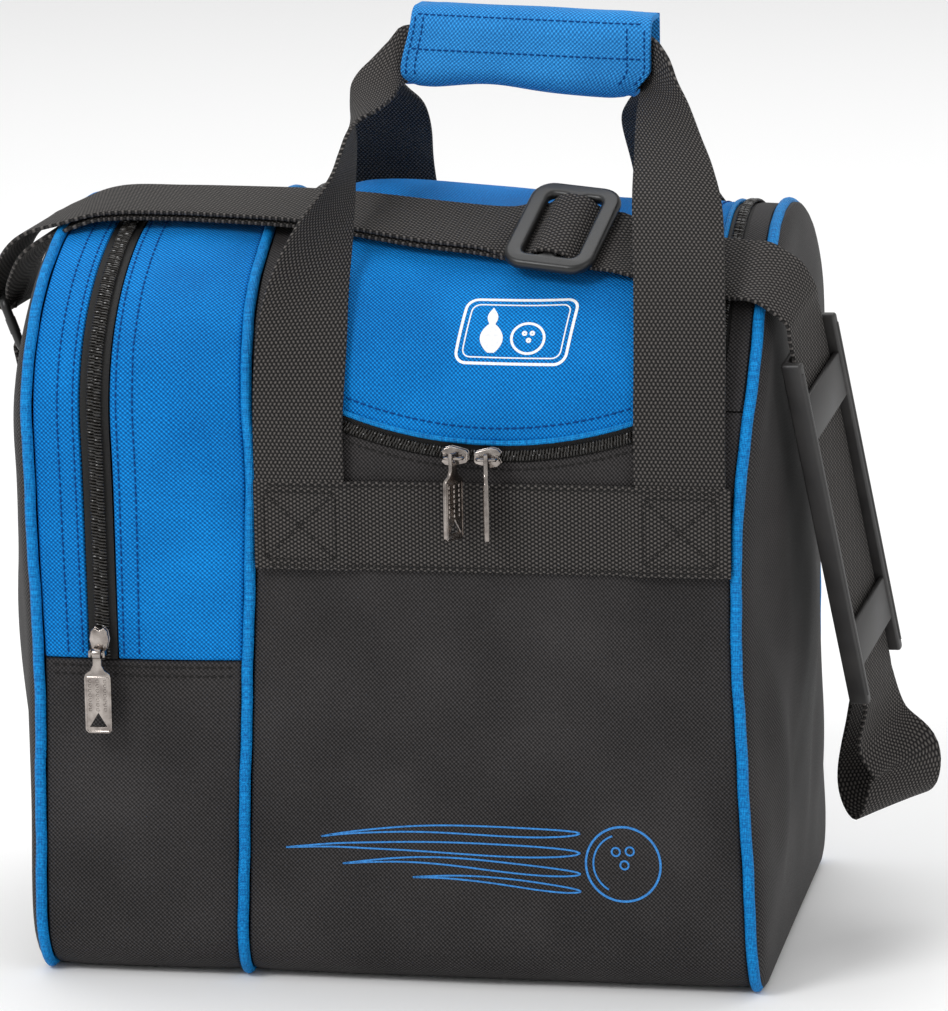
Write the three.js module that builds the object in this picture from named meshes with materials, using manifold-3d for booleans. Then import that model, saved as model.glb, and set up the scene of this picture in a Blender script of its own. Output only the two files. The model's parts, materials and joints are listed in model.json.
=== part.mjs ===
// Single-ball bowling bag: a ball compartment with a U-zipped lid, a shoe compartment on the left, two
// carrying handles joined by a grip wrap, and an adjustable shoulder strap with a sliding pad.
// Millimetres. X runs to the right, Y to the back, Z up. The origin is the middle of the base.
import * as THREE from 'three';
import { mergeVertices } from 'three/addons/utils/BufferGeometryUtils.js';
import Module from 'manifold-3d';

const wasm = await Module();
wasm.setup();

// Driving dimensions
const LEFT = -160; // middle of the left piping loop
const DIVIDE = -68.5; // middle of the piping between the two compartments
const RIGHT = 160; // middle of the right piping loop
const HALF_DEPTH = 120; // from the middle plane to the front panel's face
const SHOULDER_Z = 247; // where the straight walls turn into the arched top
const ARCH_RISE = 88; // from the shoulder to the top of the arch
const FLOOR_CORNER = 20; // radius of the long bottom edges
const SKIN = 3; // fabric with its foam and lining
const GAP = 0.3; // between pieces that touch
const WEBBING = 40; // handle and band webbing width
const WEBBING_THICK = 2;
const STRAP = 38; // shoulder strap width
const STRAP_THICK = 1.8;

// Worked out from them
const TOP_Z = SHOULDER_Z + ARCH_RISE;
const BALL_MIDDLE = (DIVIDE + RIGHT) / 2;
const PIPING_WIDTH = 5;
const PIPING_PROUD = 2.2;
const PANEL_INSET = PIPING_WIDTH / 2 + GAP; // from a piping's middle to a panel's edge
const FLOOR_EDGE = HALF_DEPTH - FLOOR_CORNER; // where the flat base ends
const PROFILE_MIDDLE_Z = 160; // the end panels' highest point

// Lid outline, seen from the front
const LID_HALF = 92;
const EDGE_RADIUS = 210;
const EDGE_BOTTOM = 248;
const EDGE_REACH = 76; // half the width of the round stretch
const EDGE_TOP = 290; // where the edge runs straight up and over
const LID_BACK = 89.9;
const HINGE_Y = 91.7;
const BACK_SEAM = 93.5;
// distances outwards from the lid's edge
const WELT_EDGE = [0.3, 1.5];
const LID_ZIP = [1.8, 6.3];
const BODY_ZIP = [6.6, 9.2];
const ZIP_MIDDLE = 6.45;
const PANEL_CUT = 9.5;

// Bands and handles
const BAND_Z = [189.5, 229.5];
const TAIL_Y = HALF_DEPTH + GAP + WEBBING_THICK / 2;
const BAND_Y = TAIL_Y + WEBBING_THICK + GAP;
const LEG_Y = 123;
const LEG_X = 84; // from the ball compartment's middle
const GRIP_HALF = 57;
const GRIP_Z = 405;
const GRIP_HALF_HEIGHT = 18.5;
const GRIP_HALF_DEPTH = 16;
const GRIP_WALL = 3;
const GRIP_STRAP_Y = 8;

// Zip in the shoe compartment
const SHOE_ZIP_X = -131;
const SHOE_ZIP_HALF = 6;
const SHOE_SPLIT_Z = 146;
const GUSSET_Z = 262;

// Zip sliders and pulls
const SLIDER_Y = -HALF_DEPTH - 4.5;
const BAIL_DEPTH = -6.7; // from a slider's middle to its bail
const KNUCKLE_DEPTH = -5.9;
const SHOE_SLIDER_Z = 151;
const PULL_LENGTH = 36;
const PULL_HALF = 6.3;
const PULL_NECK = 2.1;
const PULL_THICK = 1.8;
const PULL_TURN = 65; // from facing front

const COLOURS = {
  blue: { color: 0x1c74c8, roughness: 0.75, metalness: 0 },
  black: { color: 0x2a2929, roughness: 0.85, metalness: 0 },
  webbing: { color: 0x1f1e1e, roughness: 0.9, metalness: 0 },
  coil: { color: 0x141414, roughness: 0.5, metalness: 0 },
  plastic: { color: 0x1b1b1b, roughness: 0.45, metalness: 0 },
  nickel: { color: 0x9a9690, roughness: 0.3, metalness: 1 },
  board: { color: 0x3a3a3a, roughness: 0.7, metalness: 0 },
  foam: { color: 0x303033, roughness: 0.95, metalness: 0 },
};
const materials = Object.fromEntries(
  Object.entries(COLOURS).map(([name, look]) => [name, new THREE.MeshStandardMaterial(look)]),
);

const bag = new THREE.Group();

function add(name, geometry, material) {
  const mesh = new THREE.Mesh(geometry, materials[material]);
  mesh.name = name;
  bag.add(mesh);
  return mesh;
}

// ---- shapes and solids ----

const X = new THREE.Vector3(1, 0, 0);
const Y = new THREE.Vector3(0, 1, 0);
const Z = new THREE.Vector3(0, 0, 1);

// A (y, z) shape drawn out along X from x0 to x1.
function alongX(shape, x0, x1) {
  const geometry = new THREE.ExtrudeGeometry(shape, { depth: x1 - x0, bevelEnabled: false });
  geometry.applyMatrix4(new THREE.Matrix4().makeBasis(Y, Z, X));
  return geometry.translate(x0, 0, 0);
}

// An (x, z) shape drawn out along Y from y0 to y1.
function alongY(shape, y0, y1) {
  const geometry = new THREE.ExtrudeGeometry(shape, { depth: y1 - y0, bevelEnabled: false });
  geometry.applyMatrix4(new THREE.Matrix4().makeBasis(X, Z, Y.clone().negate()));
  return geometry.translate(0, y1, 0);
}

function box(x0, x1, y0, y1, z0, z1) {
  const geometry = new THREE.BoxGeometry(x1 - x0, y1 - y0, z1 - z0);
  return geometry.translate((x0 + x1) / 2, (y0 + y1) / 2, (z0 + z1) / 2);
}

function solid(geometry) {
  const bare = geometry.clone();
  bare.deleteAttribute('normal');
  bare.deleteAttribute('uv');
  const merged = mergeVertices(bare, 1e-4);
  return new wasm.Manifold(
    new wasm.Mesh({
      numProp: 3,
      vertProperties: new Float32Array(merged.attributes.position.array),
      triVerts: new Uint32Array(merged.index.array),
    }),
  );
}

function geometryOf(manifold) {
  const mesh = manifold.getMesh();
  const geometry = new THREE.BufferGeometry();
  geometry.setAttribute('position', new THREE.BufferAttribute(new Float32Array(mesh.vertProperties), 3));
  geometry.setIndex(new THREE.BufferAttribute(new Uint32Array(mesh.triVerts), 1));
  geometry.computeVertexNormals();
  return geometry;
}

const boxSolid = (...sides) => solid(box(...sides));

function joined(solids) {
  return solids.reduce((whole, next) => whole.add(next));
}

// A closed skin through rings of points: each ring has the same number of [x, y, z] points.
function loft(rings, closed = false) {
  const count = rings[0].length;
  const index = [];
  const last = closed ? rings.length : rings.length - 1;
  for (let r = 0; r < last; r++) {
    const next = (r + 1) % rings.length;
    for (let i = 0; i < count; i++) {
      const j = (i + 1) % count;
      index.push(r * count + i, r * count + j, next * count + j);
      index.push(r * count + i, next * count + j, next * count + i);
    }
  }
  if (!closed) {
    const end = (rings.length - 1) * count;
    for (let i = 1; i < count - 1; i++) {
      index.push(0, i + 1, i);
      index.push(end, end + i, end + i + 1);
    }
  }
  const geometry = new THREE.BufferGeometry();
  geometry.setAttribute('position', new THREE.Float32BufferAttribute(rings.flat(2), 3));
  geometry.setIndex(index);
  if (volume(geometry) < 0) turnInsideOut(geometry);
  geometry.computeVertexNormals();
  return geometry;
}

function volume(geometry) {
  const at = geometry.attributes.position;
  const index = geometry.index.array;
  const [a, b, c] = [new THREE.Vector3(), new THREE.Vector3(), new THREE.Vector3()];
  let sum = 0;
  for (let i = 0; i < index.length; i += 3) {
    a.fromBufferAttribute(at, index[i]);
    b.fromBufferAttribute(at, index[i + 1]);
    c.fromBufferAttribute(at, index[i + 2]);
    sum += a.dot(b.cross(c)) / 6;
  }
  return sum;
}

function turnInsideOut(geometry) {
  const index = geometry.index.array;
  for (let i = 0; i < index.length; i += 3) {
    [index[i + 1], index[i + 2]] = [index[i + 2], index[i + 1]];
  }
}

// A flat strap through stations { at, across, width }: across is the direction of its width.
function ribbon(stations, thickness, width) {
  const points = stations.map((s) => new THREE.Vector3(...s.at));
  const rings = stations.map((s, i) => {
    const before = points[Math.max(i - 1, 0)];
    const after = points[Math.min(i + 1, points.length - 1)];
    const along = after.clone().sub(before).normalize();
    const across = new THREE.Vector3(...s.across).projectOnPlane(along).normalize();
    const up = across.clone().cross(along);
    const half = (s.width ?? width) / 2;
    return [[-half, -1], [half, -1], [half, 1], [-half, 1]].map(([w, side]) =>
      points[i]
        .clone()
        .addScaledVector(across, w)
        .addScaledVector(up, (side * thickness) / 2)
        .toArray(),
    );
  });
  return loft(rings);
}

// ---- the bag's cross-section ----

function arc(cy, cz, ry, rz, from, to, steps) {
  const points = [];
  for (let i = 0; i <= steps; i++) {
    const angle = THREE.MathUtils.degToRad(from + ((to - from) * i) / steps);
    points.push([cy + ry * Math.cos(angle), cz + rz * Math.sin(angle)]);
  }
  return points;
}

// The closed (y, z) outline of the bag, moved outwards by offset but never below the floor.
function profile(offset) {
  const bottom = Math.max(0, -offset);
  const half = HALF_DEPTH + offset;
  const corner = FLOOR_CORNER + offset;
  const inset = half - corner;
  return [
    ...arc(inset, bottom + corner, corner, corner, -90, 0, 4),
    ...arc(0, SHOULDER_Z, half, ARCH_RISE + offset, 0, 180, 20),
    ...arc(-inset, bottom + corner, corner, corner, 180, 270, 4),
  ];
}

// Height of the arched top at depth y, raised by offset.
function archZ(y, offset = 0) {
  const share = y / (HALF_DEPTH + offset);
  return SHOULDER_Z + (ARCH_RISE + offset) * Math.sqrt(Math.max(0, 1 - share * share));
}

function shapeOf(points) {
  return new THREE.Shape(points.map(([u, v]) => new THREE.Vector2(u, v)));
}

function profileRing(outer, inner) {
  const shape = shapeOf(profile(outer));
  shape.holes.push(new THREE.Path(profile(inner).map(([u, v]) => new THREE.Vector2(u, v))));
  return shape;
}

const shell = (outer, inner, x0, x1) => solid(alongX(profileRing(outer, inner), x0, x1));

// ---- the lid's outline and the regions that the panels are cut to ----

function lidEdge() {
  const right = [];
  const sweep = Math.asin(EDGE_REACH / EDGE_RADIUS);
  for (let i = 0; i <= 6; i++) {
    const angle = (sweep * i) / 6;
    right.push([EDGE_RADIUS * Math.sin(angle), EDGE_BOTTOM + EDGE_RADIUS * (1 - Math.cos(angle))]);
  }
  const [startX, startZ] = right.at(-1);
  const corner = new THREE.QuadraticBezierCurve(
    new THREE.Vector2(startX, startZ),
    new THREE.Vector2(LID_HALF, startZ + (LID_HALF - startX) * Math.tan(sweep)),
    new THREE.Vector2(LID_HALF, EDGE_TOP),
  );
  right.push(...corner.getPoints(4).slice(1).map((p) => [p.x, p.y]));
  const left = right.slice(1).reverse().map(([x, z]) => [-x, z]);
  return [...left, ...right].map(([x, z]) => [BALL_MIDDLE + x, z]);
}

// Everything inside the lid's edge moved outwards by offset, as far back as backY.
function lidRegion(offset, backY) {
  const edge = lidEdge();
  const moved = edge.map(([x, z], i) => {
    const [x0, z0] = edge[Math.max(i - 1, 0)];
    const [x1, z1] = edge[Math.min(i + 1, edge.length - 1)];
    const length = Math.hypot(x1 - x0, z1 - z0);
    return [x + ((z1 - z0) / length) * offset, z - ((x1 - x0) / length) * offset];
  });
  const above = TOP_Z + 20;
  const outline = [[BALL_MIDDLE - LID_HALF - offset, above], ...moved, [BALL_MIDDLE + LID_HALF + offset, above]];
  const front = solid(alongY(shapeOf(outline), -HALF_DEPTH - 20, 1));
  const half = LID_HALF + offset;
  return front.add(boxSolid(BALL_MIDDLE - half, BALL_MIDDLE + half, 0, backY, 200, above));
}

const FAR = 400;
const frontBelow = (z) => boxSolid(-FAR, FAR, -FAR, -FLOOR_EDGE, -5, z);
const archAbove = (z, backY) => boxSolid(-FAR, FAR, -FAR, backY, z, FAR);
const backWall = () =>
  boxSolid(-FAR, FAR, BACK_SEAM + GAP, FAR, FLOOR_CORNER, FAR).add(
    boxSolid(-FAR, FAR, FLOOR_EDGE, FAR, -5, FLOOR_CORNER + 1),
  );

// ---- body panels ----

function basePieces() {
  const inner = SKIN + GAP;
  add('bottom_panel', box(LEFT + PANEL_INSET, RIGHT - PANEL_INSET, -FLOOR_EDGE + GAP, FLOOR_EDGE - GAP, 0, SKIN), 'black');
  add('ball_board', box(DIVIDE + 3, RIGHT - 4, -FLOOR_EDGE, FLOOR_EDGE, inner, inner + 3), 'board');
  add('shoe_board', box(LEFT + 4, DIVIDE - 3, -FLOOR_EDGE, FLOOR_EDGE, inner, inner + 3), 'board');
}

function ballCup() {
  const ballRadius = 108;
  const outer = 98;
  const height = 34;
  const floor = 6;
  const rim = Math.sqrt(ballRadius ** 2 - (ballRadius + floor - height) ** 2);
  const points = [new THREE.Vector2(0, 0), new THREE.Vector2(outer, 0), new THREE.Vector2(outer, height)];
  for (let i = 0; i <= 5; i++) {
    const r = (rim * (5 - i)) / 5;
    points.push(new THREE.Vector2(r, ballRadius + floor - Math.sqrt(ballRadius ** 2 - r * r)));
  }
  const cup = new THREE.LatheGeometry(points, 24).rotateX(Math.PI / 2);
  add('foam_ball_cup', geometryOf(solid(cup)), 'foam').position.set(BALL_MIDDLE, 0, 6.6 + GAP);
}

function ballPanels() {
  const ballShell = shell(0, -SKIN, DIVIDE + PANEL_INSET, RIGHT - PANEL_INSET);
  const opening = lidRegion(PANEL_CUT, BACK_SEAM);
  const front = ballShell.intersect(frontBelow(GUSSET_Z)).subtract(opening);
  const gussets = ballShell.intersect(archAbove(GUSSET_Z + GAP, BACK_SEAM)).subtract(opening);
  const leftSide = boxSolid(-FAR, BALL_MIDDLE, -FAR, FAR, -5, FAR);
  add('ball_front_panel', geometryOf(front), 'black');
  add('gusset_left', geometryOf(gussets.intersect(leftSide)), 'black');
  add('gusset_right', geometryOf(gussets.subtract(leftSide)), 'black');
  add('ball_back_panel', geometryOf(ballShell.intersect(backWall())), 'black');
}

function shoePanels() {
  const shoeShell = shell(0, -SKIN, LEFT + PANEL_INSET, DIVIDE - PANEL_INSET);
  const upper = shoeShell.intersect(archAbove(SHOE_SPLIT_Z + GAP, 0).add(archAbove(GUSSET_Z, BACK_SEAM)));
  const slot = SHOE_ZIP_HALF + GAP;
  const outerSide = boxSolid(-FAR, SHOE_ZIP_X - slot, -FAR, FAR, -5, FAR);
  const innerSide = boxSolid(SHOE_ZIP_X + slot, FAR, -FAR, FAR, -5, FAR);
  add('shoe_front_lower', geometryOf(shoeShell.intersect(frontBelow(SHOE_SPLIT_Z))), 'black');
  add('shoe_outer_strip', geometryOf(upper.intersect(outerSide)), 'blue');
  add('shoe_inner_strip', geometryOf(upper.intersect(innerSide)), 'blue');
  add('shoe_back_panel', geometryOf(shoeShell.intersect(backWall())), 'black');
}

function shoeZip() {
  const tape = shell(-0.5, -2.5, SHOE_ZIP_X - SHOE_ZIP_HALF, SHOE_ZIP_X + SHOE_ZIP_HALF);
  const stretch = archAbove(SHOE_SPLIT_Z + GAP, 0).add(archAbove(GUSSET_Z, BACK_SEAM));
  const closed = tape.intersect(stretch);
  const leftHalf = boxSolid(-FAR, SHOE_ZIP_X - GAP / 2, -FAR, FAR, -5, FAR);
  const rightHalf = boxSolid(SHOE_ZIP_X + GAP / 2, FAR, -FAR, FAR, -5, FAR);
  add('shoe_zip_left_half', geometryOf(closed.intersect(leftHalf)), 'coil');
  add('shoe_zip_right_half', geometryOf(closed.intersect(rightHalf)), 'coil');
}

function divider() {
  add('divider_panel', alongX(shapeOf(profile(-SKIN - GAP)), DIVIDE - 1, DIVIDE + 1), 'black');
}

function pipings() {
  const ring = profileRing(PIPING_PROUD, -SKIN + GAP);
  const half = PIPING_WIDTH / 2;
  add('piping_left', alongX(ring, LEFT - half, LEFT + half), 'blue');
  add('piping_right', alongX(ring, RIGHT - half, RIGHT + half), 'blue');
  const underneath = boxSolid(-FAR, FAR, -FLOOR_EDGE, FLOOR_EDGE, -5, SKIN + GAP + 1);
  const middle = solid(alongX(ring, DIVIDE - half, DIVIDE + half)).subtract(underneath);
  add('piping_middle', geometryOf(middle), 'blue');
}

// A shallow dish: its rim lies beside the piping and its middle stands out by bulge.
function endPanel(name, side, bulge) {
  const rim = Math.abs(LEFT) + PANEL_INSET + SKIN;
  const scales = [0.985, 0.85, 0.65, 0.4, 0.12];
  const ring = (scale, depth) =>
    profile(0).map(([y, z]) => [
      side * (rim + bulge * (1 - (scale / 0.985) ** 2) - depth),
      y * scale,
      PROFILE_MIDDLE_Z + (z - PROFILE_MIDDLE_Z) * scale,
    ]);
  const outside = scales.map((scale) => ring(scale, 0));
  const inside = scales.map((scale) => ring(scale, SKIN)).reverse();
  add(name, loft([...outside.reverse(), ...inside.reverse()]), 'black');
}

// ---- the lid ----

function lidPieces() {
  const left = DIVIDE + PANEL_INSET;
  const right = RIGHT - PANEL_INSET;
  const between = (outer, inner, surface, inset, backY) =>
    shell(surface, inset, left, right).intersect(lidRegion(outer, backY)).subtract(lidRegion(inner, backY + 1));
  const upFrom = boxSolid(-FAR, FAR, -FAR, LID_BACK, SHOULDER_Z - 20, FAR);
  const panel = shell(0, -SKIN, left, right).intersect(lidRegion(0, LID_BACK)).intersect(upFrom);
  add('lid_panel', geometryOf(panel), 'blue');
  add('lid_piping', geometryOf(between(WELT_EDGE[1], WELT_EDGE[0], 1.6, -2, LID_BACK)), 'blue');
  add('lid_zip_half', geometryOf(between(LID_ZIP[1], LID_ZIP[0], -0.5, -2.5, LID_BACK)), 'coil');
  add('body_zip_half', geometryOf(between(BODY_ZIP[1], BODY_ZIP[0], -0.5, -2.5, BACK_SEAM)), 'coil');
}

function hingeWelt() {
  const radius = 1.3;
  const length = 2 * (LID_HALF + LID_ZIP[1]);
  const welt = new THREE.CylinderGeometry(radius, radius, length, 10).rotateZ(Math.PI / 2);
  add('hinge_welt', welt, 'black').position.set(BALL_MIDDLE, HINGE_Y, archZ(HINGE_Y));
}

// ---- zip sliders and pulls ----

// A slider on the main zip, with a bail along X for its pull.
function mainSlider(name, x, z) {
  const pieces = [
    boxSolid(-6, 6, -2.5, 2.5, -4.5, 4.5),
    boxSolid(-4.7, 4.7, BAIL_DEPTH - 0.7, BAIL_DEPTH + 0.7, -0.7, 0.7),
    boxSolid(-4.7, -3.2, BAIL_DEPTH - 0.7, -2, -0.8, 0.8),
    boxSolid(3.2, 4.7, BAIL_DEPTH - 0.7, -2, -0.8, 0.8),
  ];
  add(name, geometryOf(joined(pieces)), 'nickel').position.set(x, SLIDER_Y, z);
}

const crossRod = (radius, length) => new THREE.CylinderGeometry(radius, radius, length, 12).rotateZ(Math.PI / 2);

// The shoe zip's slider: two lugs carry a pin across it for the pull's knuckle.
function shoeSlider() {
  const pieces = [
    boxSolid(-4.5, 4.5, -2.5, 2.5, -2, 11),
    boxSolid(-3.8, -2.5, KNUCKLE_DEPTH - 1.3, -2, -1.4, 1.4),
    boxSolid(2.5, 3.8, KNUCKLE_DEPTH - 1.3, -2, -1.4, 1.4),
    solid(crossRod(0.8, 7.6)).translate([0, KNUCKLE_DEPTH, 0]),
  ];
  add('shoe_slider', geometryOf(joined(pieces)), 'nickel').position.set(SHOE_ZIP_X, SLIDER_Y, SHOE_SLIDER_Z);
}

// A flat pull, seen from the front: a neck at the top and a three-sided cut-out near its end.
function pullShape(neckTop) {
  const shape = shapeOf([
    [-PULL_NECK, neckTop],
    [-PULL_NECK, -5],
    [-PULL_HALF, -10],
    [-PULL_HALF, -PULL_LENGTH],
    [PULL_HALF, -PULL_LENGTH],
    [PULL_HALF, -10],
    [PULL_NECK, -5],
    [PULL_NECK, neckTop],
  ]);
  const end = -PULL_LENGTH + 3;
  cutHole(shape, [[0, end + 6], [PULL_HALF * 0.6, end], [-PULL_HALF * 0.6, end]]);
  return shape;
}

function cutHole(shape, points) {
  shape.holes.push(new THREE.Path(points.map(([u, v]) => new THREE.Vector2(u, v))));
}

const pullPlate = (shape) => alongY(shape, -PULL_THICK / 2, PULL_THICK / 2);

// A main zip pull: the bail passes through the eye in its neck, so it hangs edge on.
function mainPull(name, x, z) {
  const shape = pullShape(2.6);
  cutHole(shape, arc(0, 0, 1.5, 1.5, 0, -315, 7));
  const mesh = add(name, pullPlate(shape), 'nickel');
  mesh.position.set(x, SLIDER_Y + BAIL_DEPTH, z);
  mesh.rotation.z = THREE.MathUtils.degToRad(PULL_TURN);
}

// The shoe zip's pull: a knuckle round the slider's pin, so it hangs flat.
function shoePull() {
  const barrel = solid(crossRod(2.3, 3.9)).subtract(solid(crossRod(1.2, 10)));
  const plate = solid(pullPlate(pullShape(-1.9))).subtract(boxSolid(-4, 4, -2, 2, -1.6, 4));
  const whole = joined([barrel, plate]);
  add('shoe_pull', geometryOf(whole), 'nickel').position.set(SHOE_ZIP_X, SLIDER_Y + KNUCKLE_DEPTH, SHOE_SLIDER_Z);
}

function zipHardware() {
  const radius = EDGE_RADIUS + ZIP_MIDDLE;
  for (const [side, offset] of [['left', -14], ['right', 0.5]]) {
    const z = EDGE_BOTTOM + EDGE_RADIUS - Math.sqrt(radius ** 2 - offset ** 2);
    mainSlider(`slider_${side}`, BALL_MIDDLE + offset, z);
    mainPull(`pull_${side}`, BALL_MIDDLE + offset, z);
  }
  shoeSlider();
  shoePull();
}

// ---- webbing bands and carrying handles ----

function bands() {
  const half = WEBBING_THICK / 2;
  for (const [side, facing] of [['front', -1], ['rear', 1]]) {
    const slab = (x0, x1, y, z0, z1) => box(x0, x1, facing * y - half, facing * y + half, z0, z1);
    add(`${side}_band`, slab(DIVIDE + PANEL_INSET, RIGHT - PANEL_INSET, BAND_Y, ...BAND_Z), 'webbing');
    for (const [end, sign] of [['left', -1], ['right', 1]]) {
      const x = BALL_MIDDLE + sign * LEG_X;
      const tail = slab(x - WEBBING / 2, x + WEBBING / 2, TAIL_Y, BAND_Z[0], BAND_Z[1] + 1.4);
      add(`handle_tail_${side}_${end}`, tail, 'webbing');
    }
  }
}

// One leg of a handle from its foot up into the grip: distance from the ball compartment's middle, depth,
// height, strap width, and the angle in degrees that the leg has turned through towards the grip.
const LEG_STATIONS = [
  [LEG_X, LEG_Y, BAND_Z[1] + 2.1, WEBBING, 0],
  [LEG_X, LEG_Y, 258, WEBBING, 0],
  [83.5, 117, 286, WEBBING, 2],
  [82, 102, 315, WEBBING, 5],
  [79.5, 78, 343, WEBBING, 9],
  [76, 48, 368, 38, 18],
  [71.5, 24, 386, 35, 36],
  [70.5, 12, 396, 28, 58],
  [63, 9, 403.5, 26, 80],
  [54, GRIP_STRAP_Y, GRIP_Z, 26, 90],
];

function handleStrap(name, facing) {
  const leg = (sign) =>
    LEG_STATIONS.map(([x, y, z, width, turn]) => {
      const angle = THREE.MathUtils.degToRad(turn);
      return {
        at: [BALL_MIDDLE + sign * x, facing * y, z],
        across: [-sign * Math.cos(angle), 0, -Math.sin(angle)],
        width,
      };
    });
  add(name, ribbon([...leg(-1), ...leg(1).reverse()], WEBBING_THICK), 'webbing');
}

// The grip wrap: a channel round both handles, and the flap that closes its back.
function grip() {
  const x0 = BALL_MIDDLE - GRIP_HALF;
  const x1 = BALL_MIDDLE + GRIP_HALF;
  const low = GRIP_Z - GRIP_HALF_HEIGHT;
  const high = GRIP_Z + GRIP_HALF_HEIGHT;
  const split = GRIP_HALF_DEPTH - GRIP_WALL - GAP;
  const wall = GRIP_WALL;
  const hollow = boxSolid(x0 - 1, x1 + 1, -GRIP_HALF_DEPTH + wall, FAR, low + wall, high - wall);
  const channel = boxSolid(x0, x1, -GRIP_HALF_DEPTH, split, low, high).subtract(hollow);
  add('grip_front_half', geometryOf(channel), 'blue');
  add('grip_rear_half', box(x0, x1, split + 2 * GAP, GRIP_HALF_DEPTH, low, high), 'blue');
}

// ---- shoulder strap ----

const vector = (x, y, z) => new THREE.Vector3(x, y, z);

// A station on the arched top, lifted off it, with the strap lying flat against it.
function onArch(x, y, lift) {
  const step = 0.5;
  const slope = (archZ(y + step) - archZ(y - step)) / (2 * step);
  const out = vector(0, -slope, 1).normalize();
  const at = vector(x, y, archZ(y)).addScaledVector(out, lift);
  return { at: at.toArray(), across: [0, 1, slope] };
}

const LOWER_LIFT = 3.7;
const UPPER_LIFT = 7.2;
const STRAP_LEFT_CUT = -54;
const STRAP_RIGHT_CUT = 148;
const CUT_GAP = 2.6; // between the strap's lengths on the bag and on the lid

// Where the strap crosses the top: x and depth of its middle line.
const LEFT_CROSSING = [[-162, -37], [-140, -29], [-112, -28], [-82, -33], [STRAP_LEFT_CUT, -37]];
const LID_CROSSING = [[STRAP_LEFT_CUT + CUT_GAP, -37.3], [-26, -43], [8, -51], [38, -55.5]];
const BUCKLE = [71, -60];
const RIGHT_CROSSING = [[104, -67.5], [128, -73], [STRAP_RIGHT_CUT - CUT_GAP, -76.6]];

function barLoop(cx, cz, radius, from, to, steps) {
  return arc(cx, cz, radius, radius, from, to, steps).map(([x, z]) => ({ at: [x, 0, z], across: [0, 1, 0] }));
}

const level = (x, y, z) => ({ at: [x, y, z], across: [0, 1, 0] });

const LEFT_RING_FOOT = [-189, 268];
const LEFT_RING_HEAD = [-197.5, 291];
const RIGHT_RING_FOOT = [180.5, 232];
const RIGHT_RING_HEAD = [187, 209];
const RING_BAR = 4.4;
const LOOP_RADIUS = 4.9;

// From the cut over the shoe compartment, out to the left ring, round its bar and back: two layers.
function strapLeftRun() {
  const crossing = (lift) => LEFT_CROSSING.map(([x, y]) => onArch(x, y, lift));
  const [headX, headZ] = LEFT_RING_HEAD;
  const stations = [
    ...crossing(UPPER_LIFT).reverse(),
    level(-179.5, -33, 334),
    level(-192.5, -18, 320),
    level(-200.3, -2, 304),
    ...barLoop(headX, headZ, LOOP_RADIUS, 160, 380, 7),
    level(-192.5, -2, 303),
    level(-187.5, -18, 317),
    level(-177, -33, 330),
    ...crossing(LOWER_LIFT),
  ];
  add('shoulder_strap_left_run', ribbon(stations, STRAP_THICK, STRAP), 'webbing');
}

// The buckle's own frame: u along the strap, w across it, lift out from the lid.
function buckleFrame() {
  const here = onArch(...BUCKLE, 0);
  const before = vector(...onArch(...LID_CROSSING.at(-1), 0).at);
  const after = vector(...onArch(...RIGHT_CROSSING[0], 0).at);
  const along = after.sub(before).normalize();
  const across = vector(...here.across).projectOnPlane(along).normalize();
  const out = along.clone().cross(across);
  return { at: vector(...here.at), along, across, out };
}

const FRAME_LIFT = [8.9, 11.9];
const FRAME_HALF = [19.5, 24.5];
const OVER_BAR = 13.5;

function strapOverLid() {
  const frame = buckleFrame();
  const inFrame = (u, lift) => ({
    at: frame.at.clone().addScaledVector(frame.along, u).addScaledVector(frame.out, lift).toArray(),
    across: frame.across.toArray(),
  });
  const crossing = (route, lift) => route.map(([x, y]) => onArch(x, y, lift));
  const weave = [[-21, UPPER_LIFT], [-15, UPPER_LIFT], [-5, OVER_BAR], [5, OVER_BAR], [15, UPPER_LIFT], [21, UPPER_LIFT]];
  const upper = [
    ...crossing(LID_CROSSING, UPPER_LIFT),
    ...weave.map(([u, lift]) => inFrame(u, lift)),
    ...crossing(RIGHT_CROSSING, UPPER_LIFT),
  ];
  const lower = [...crossing(LID_CROSSING, LOWER_LIFT), inFrame(-21, LOWER_LIFT), inFrame(2, LOWER_LIFT)];
  add('strap_lid_upper', ribbon(upper, STRAP_THICK, STRAP), 'webbing');
  add('strap_lid_lower', ribbon(lower, STRAP_THICK, STRAP), 'webbing');
}

function rectangle(u0, u1, v0, v1) {
  return [[u0, v0], [u1, v0], [u1, v1], [u0, v1]];
}

function triglide() {
  const [u, w] = FRAME_HALF;
  const thick = FRAME_LIFT[1] - FRAME_LIFT[0];
  const slot = (u0, u1) => boxSolid(u0, u1, -20.5, 20.5, -1, thick + 1);
  const plate = geometryOf(boxSolid(-u, u, -w, w, 0, thick).subtract(slot(3, 15)).subtract(slot(-15, -3)));
  const { at, along, across, out } = buckleFrame();
  const place = new THREE.Matrix4().makeBasis(along, across, out);
  place.setPosition(at.addScaledVector(out, FRAME_LIFT[0]));
  add('triglide', plate.applyMatrix4(place), 'plastic');
}

// The pad's own frame: along runs down it, across from its front edge to its back, out away from the bag.
const PAD_AT = vector(192, -48, 206);
const PAD_ALONG = vector(26, 55, -164).normalize();
const PAD_ACROSS = vector(16, 40, 16).projectOnPlane(PAD_ALONG).normalize();
const PAD_OUT = PAD_ALONG.clone().cross(PAD_ACROSS);
const PAD_HALF = 87;
const PAD_STRAP_LIFT = 1.7;

const padPoint = (u, w, lift) =>
  PAD_AT.clone().addScaledVector(PAD_ALONG, u).addScaledVector(PAD_ACROSS, w).addScaledVector(PAD_OUT, lift);

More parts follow.
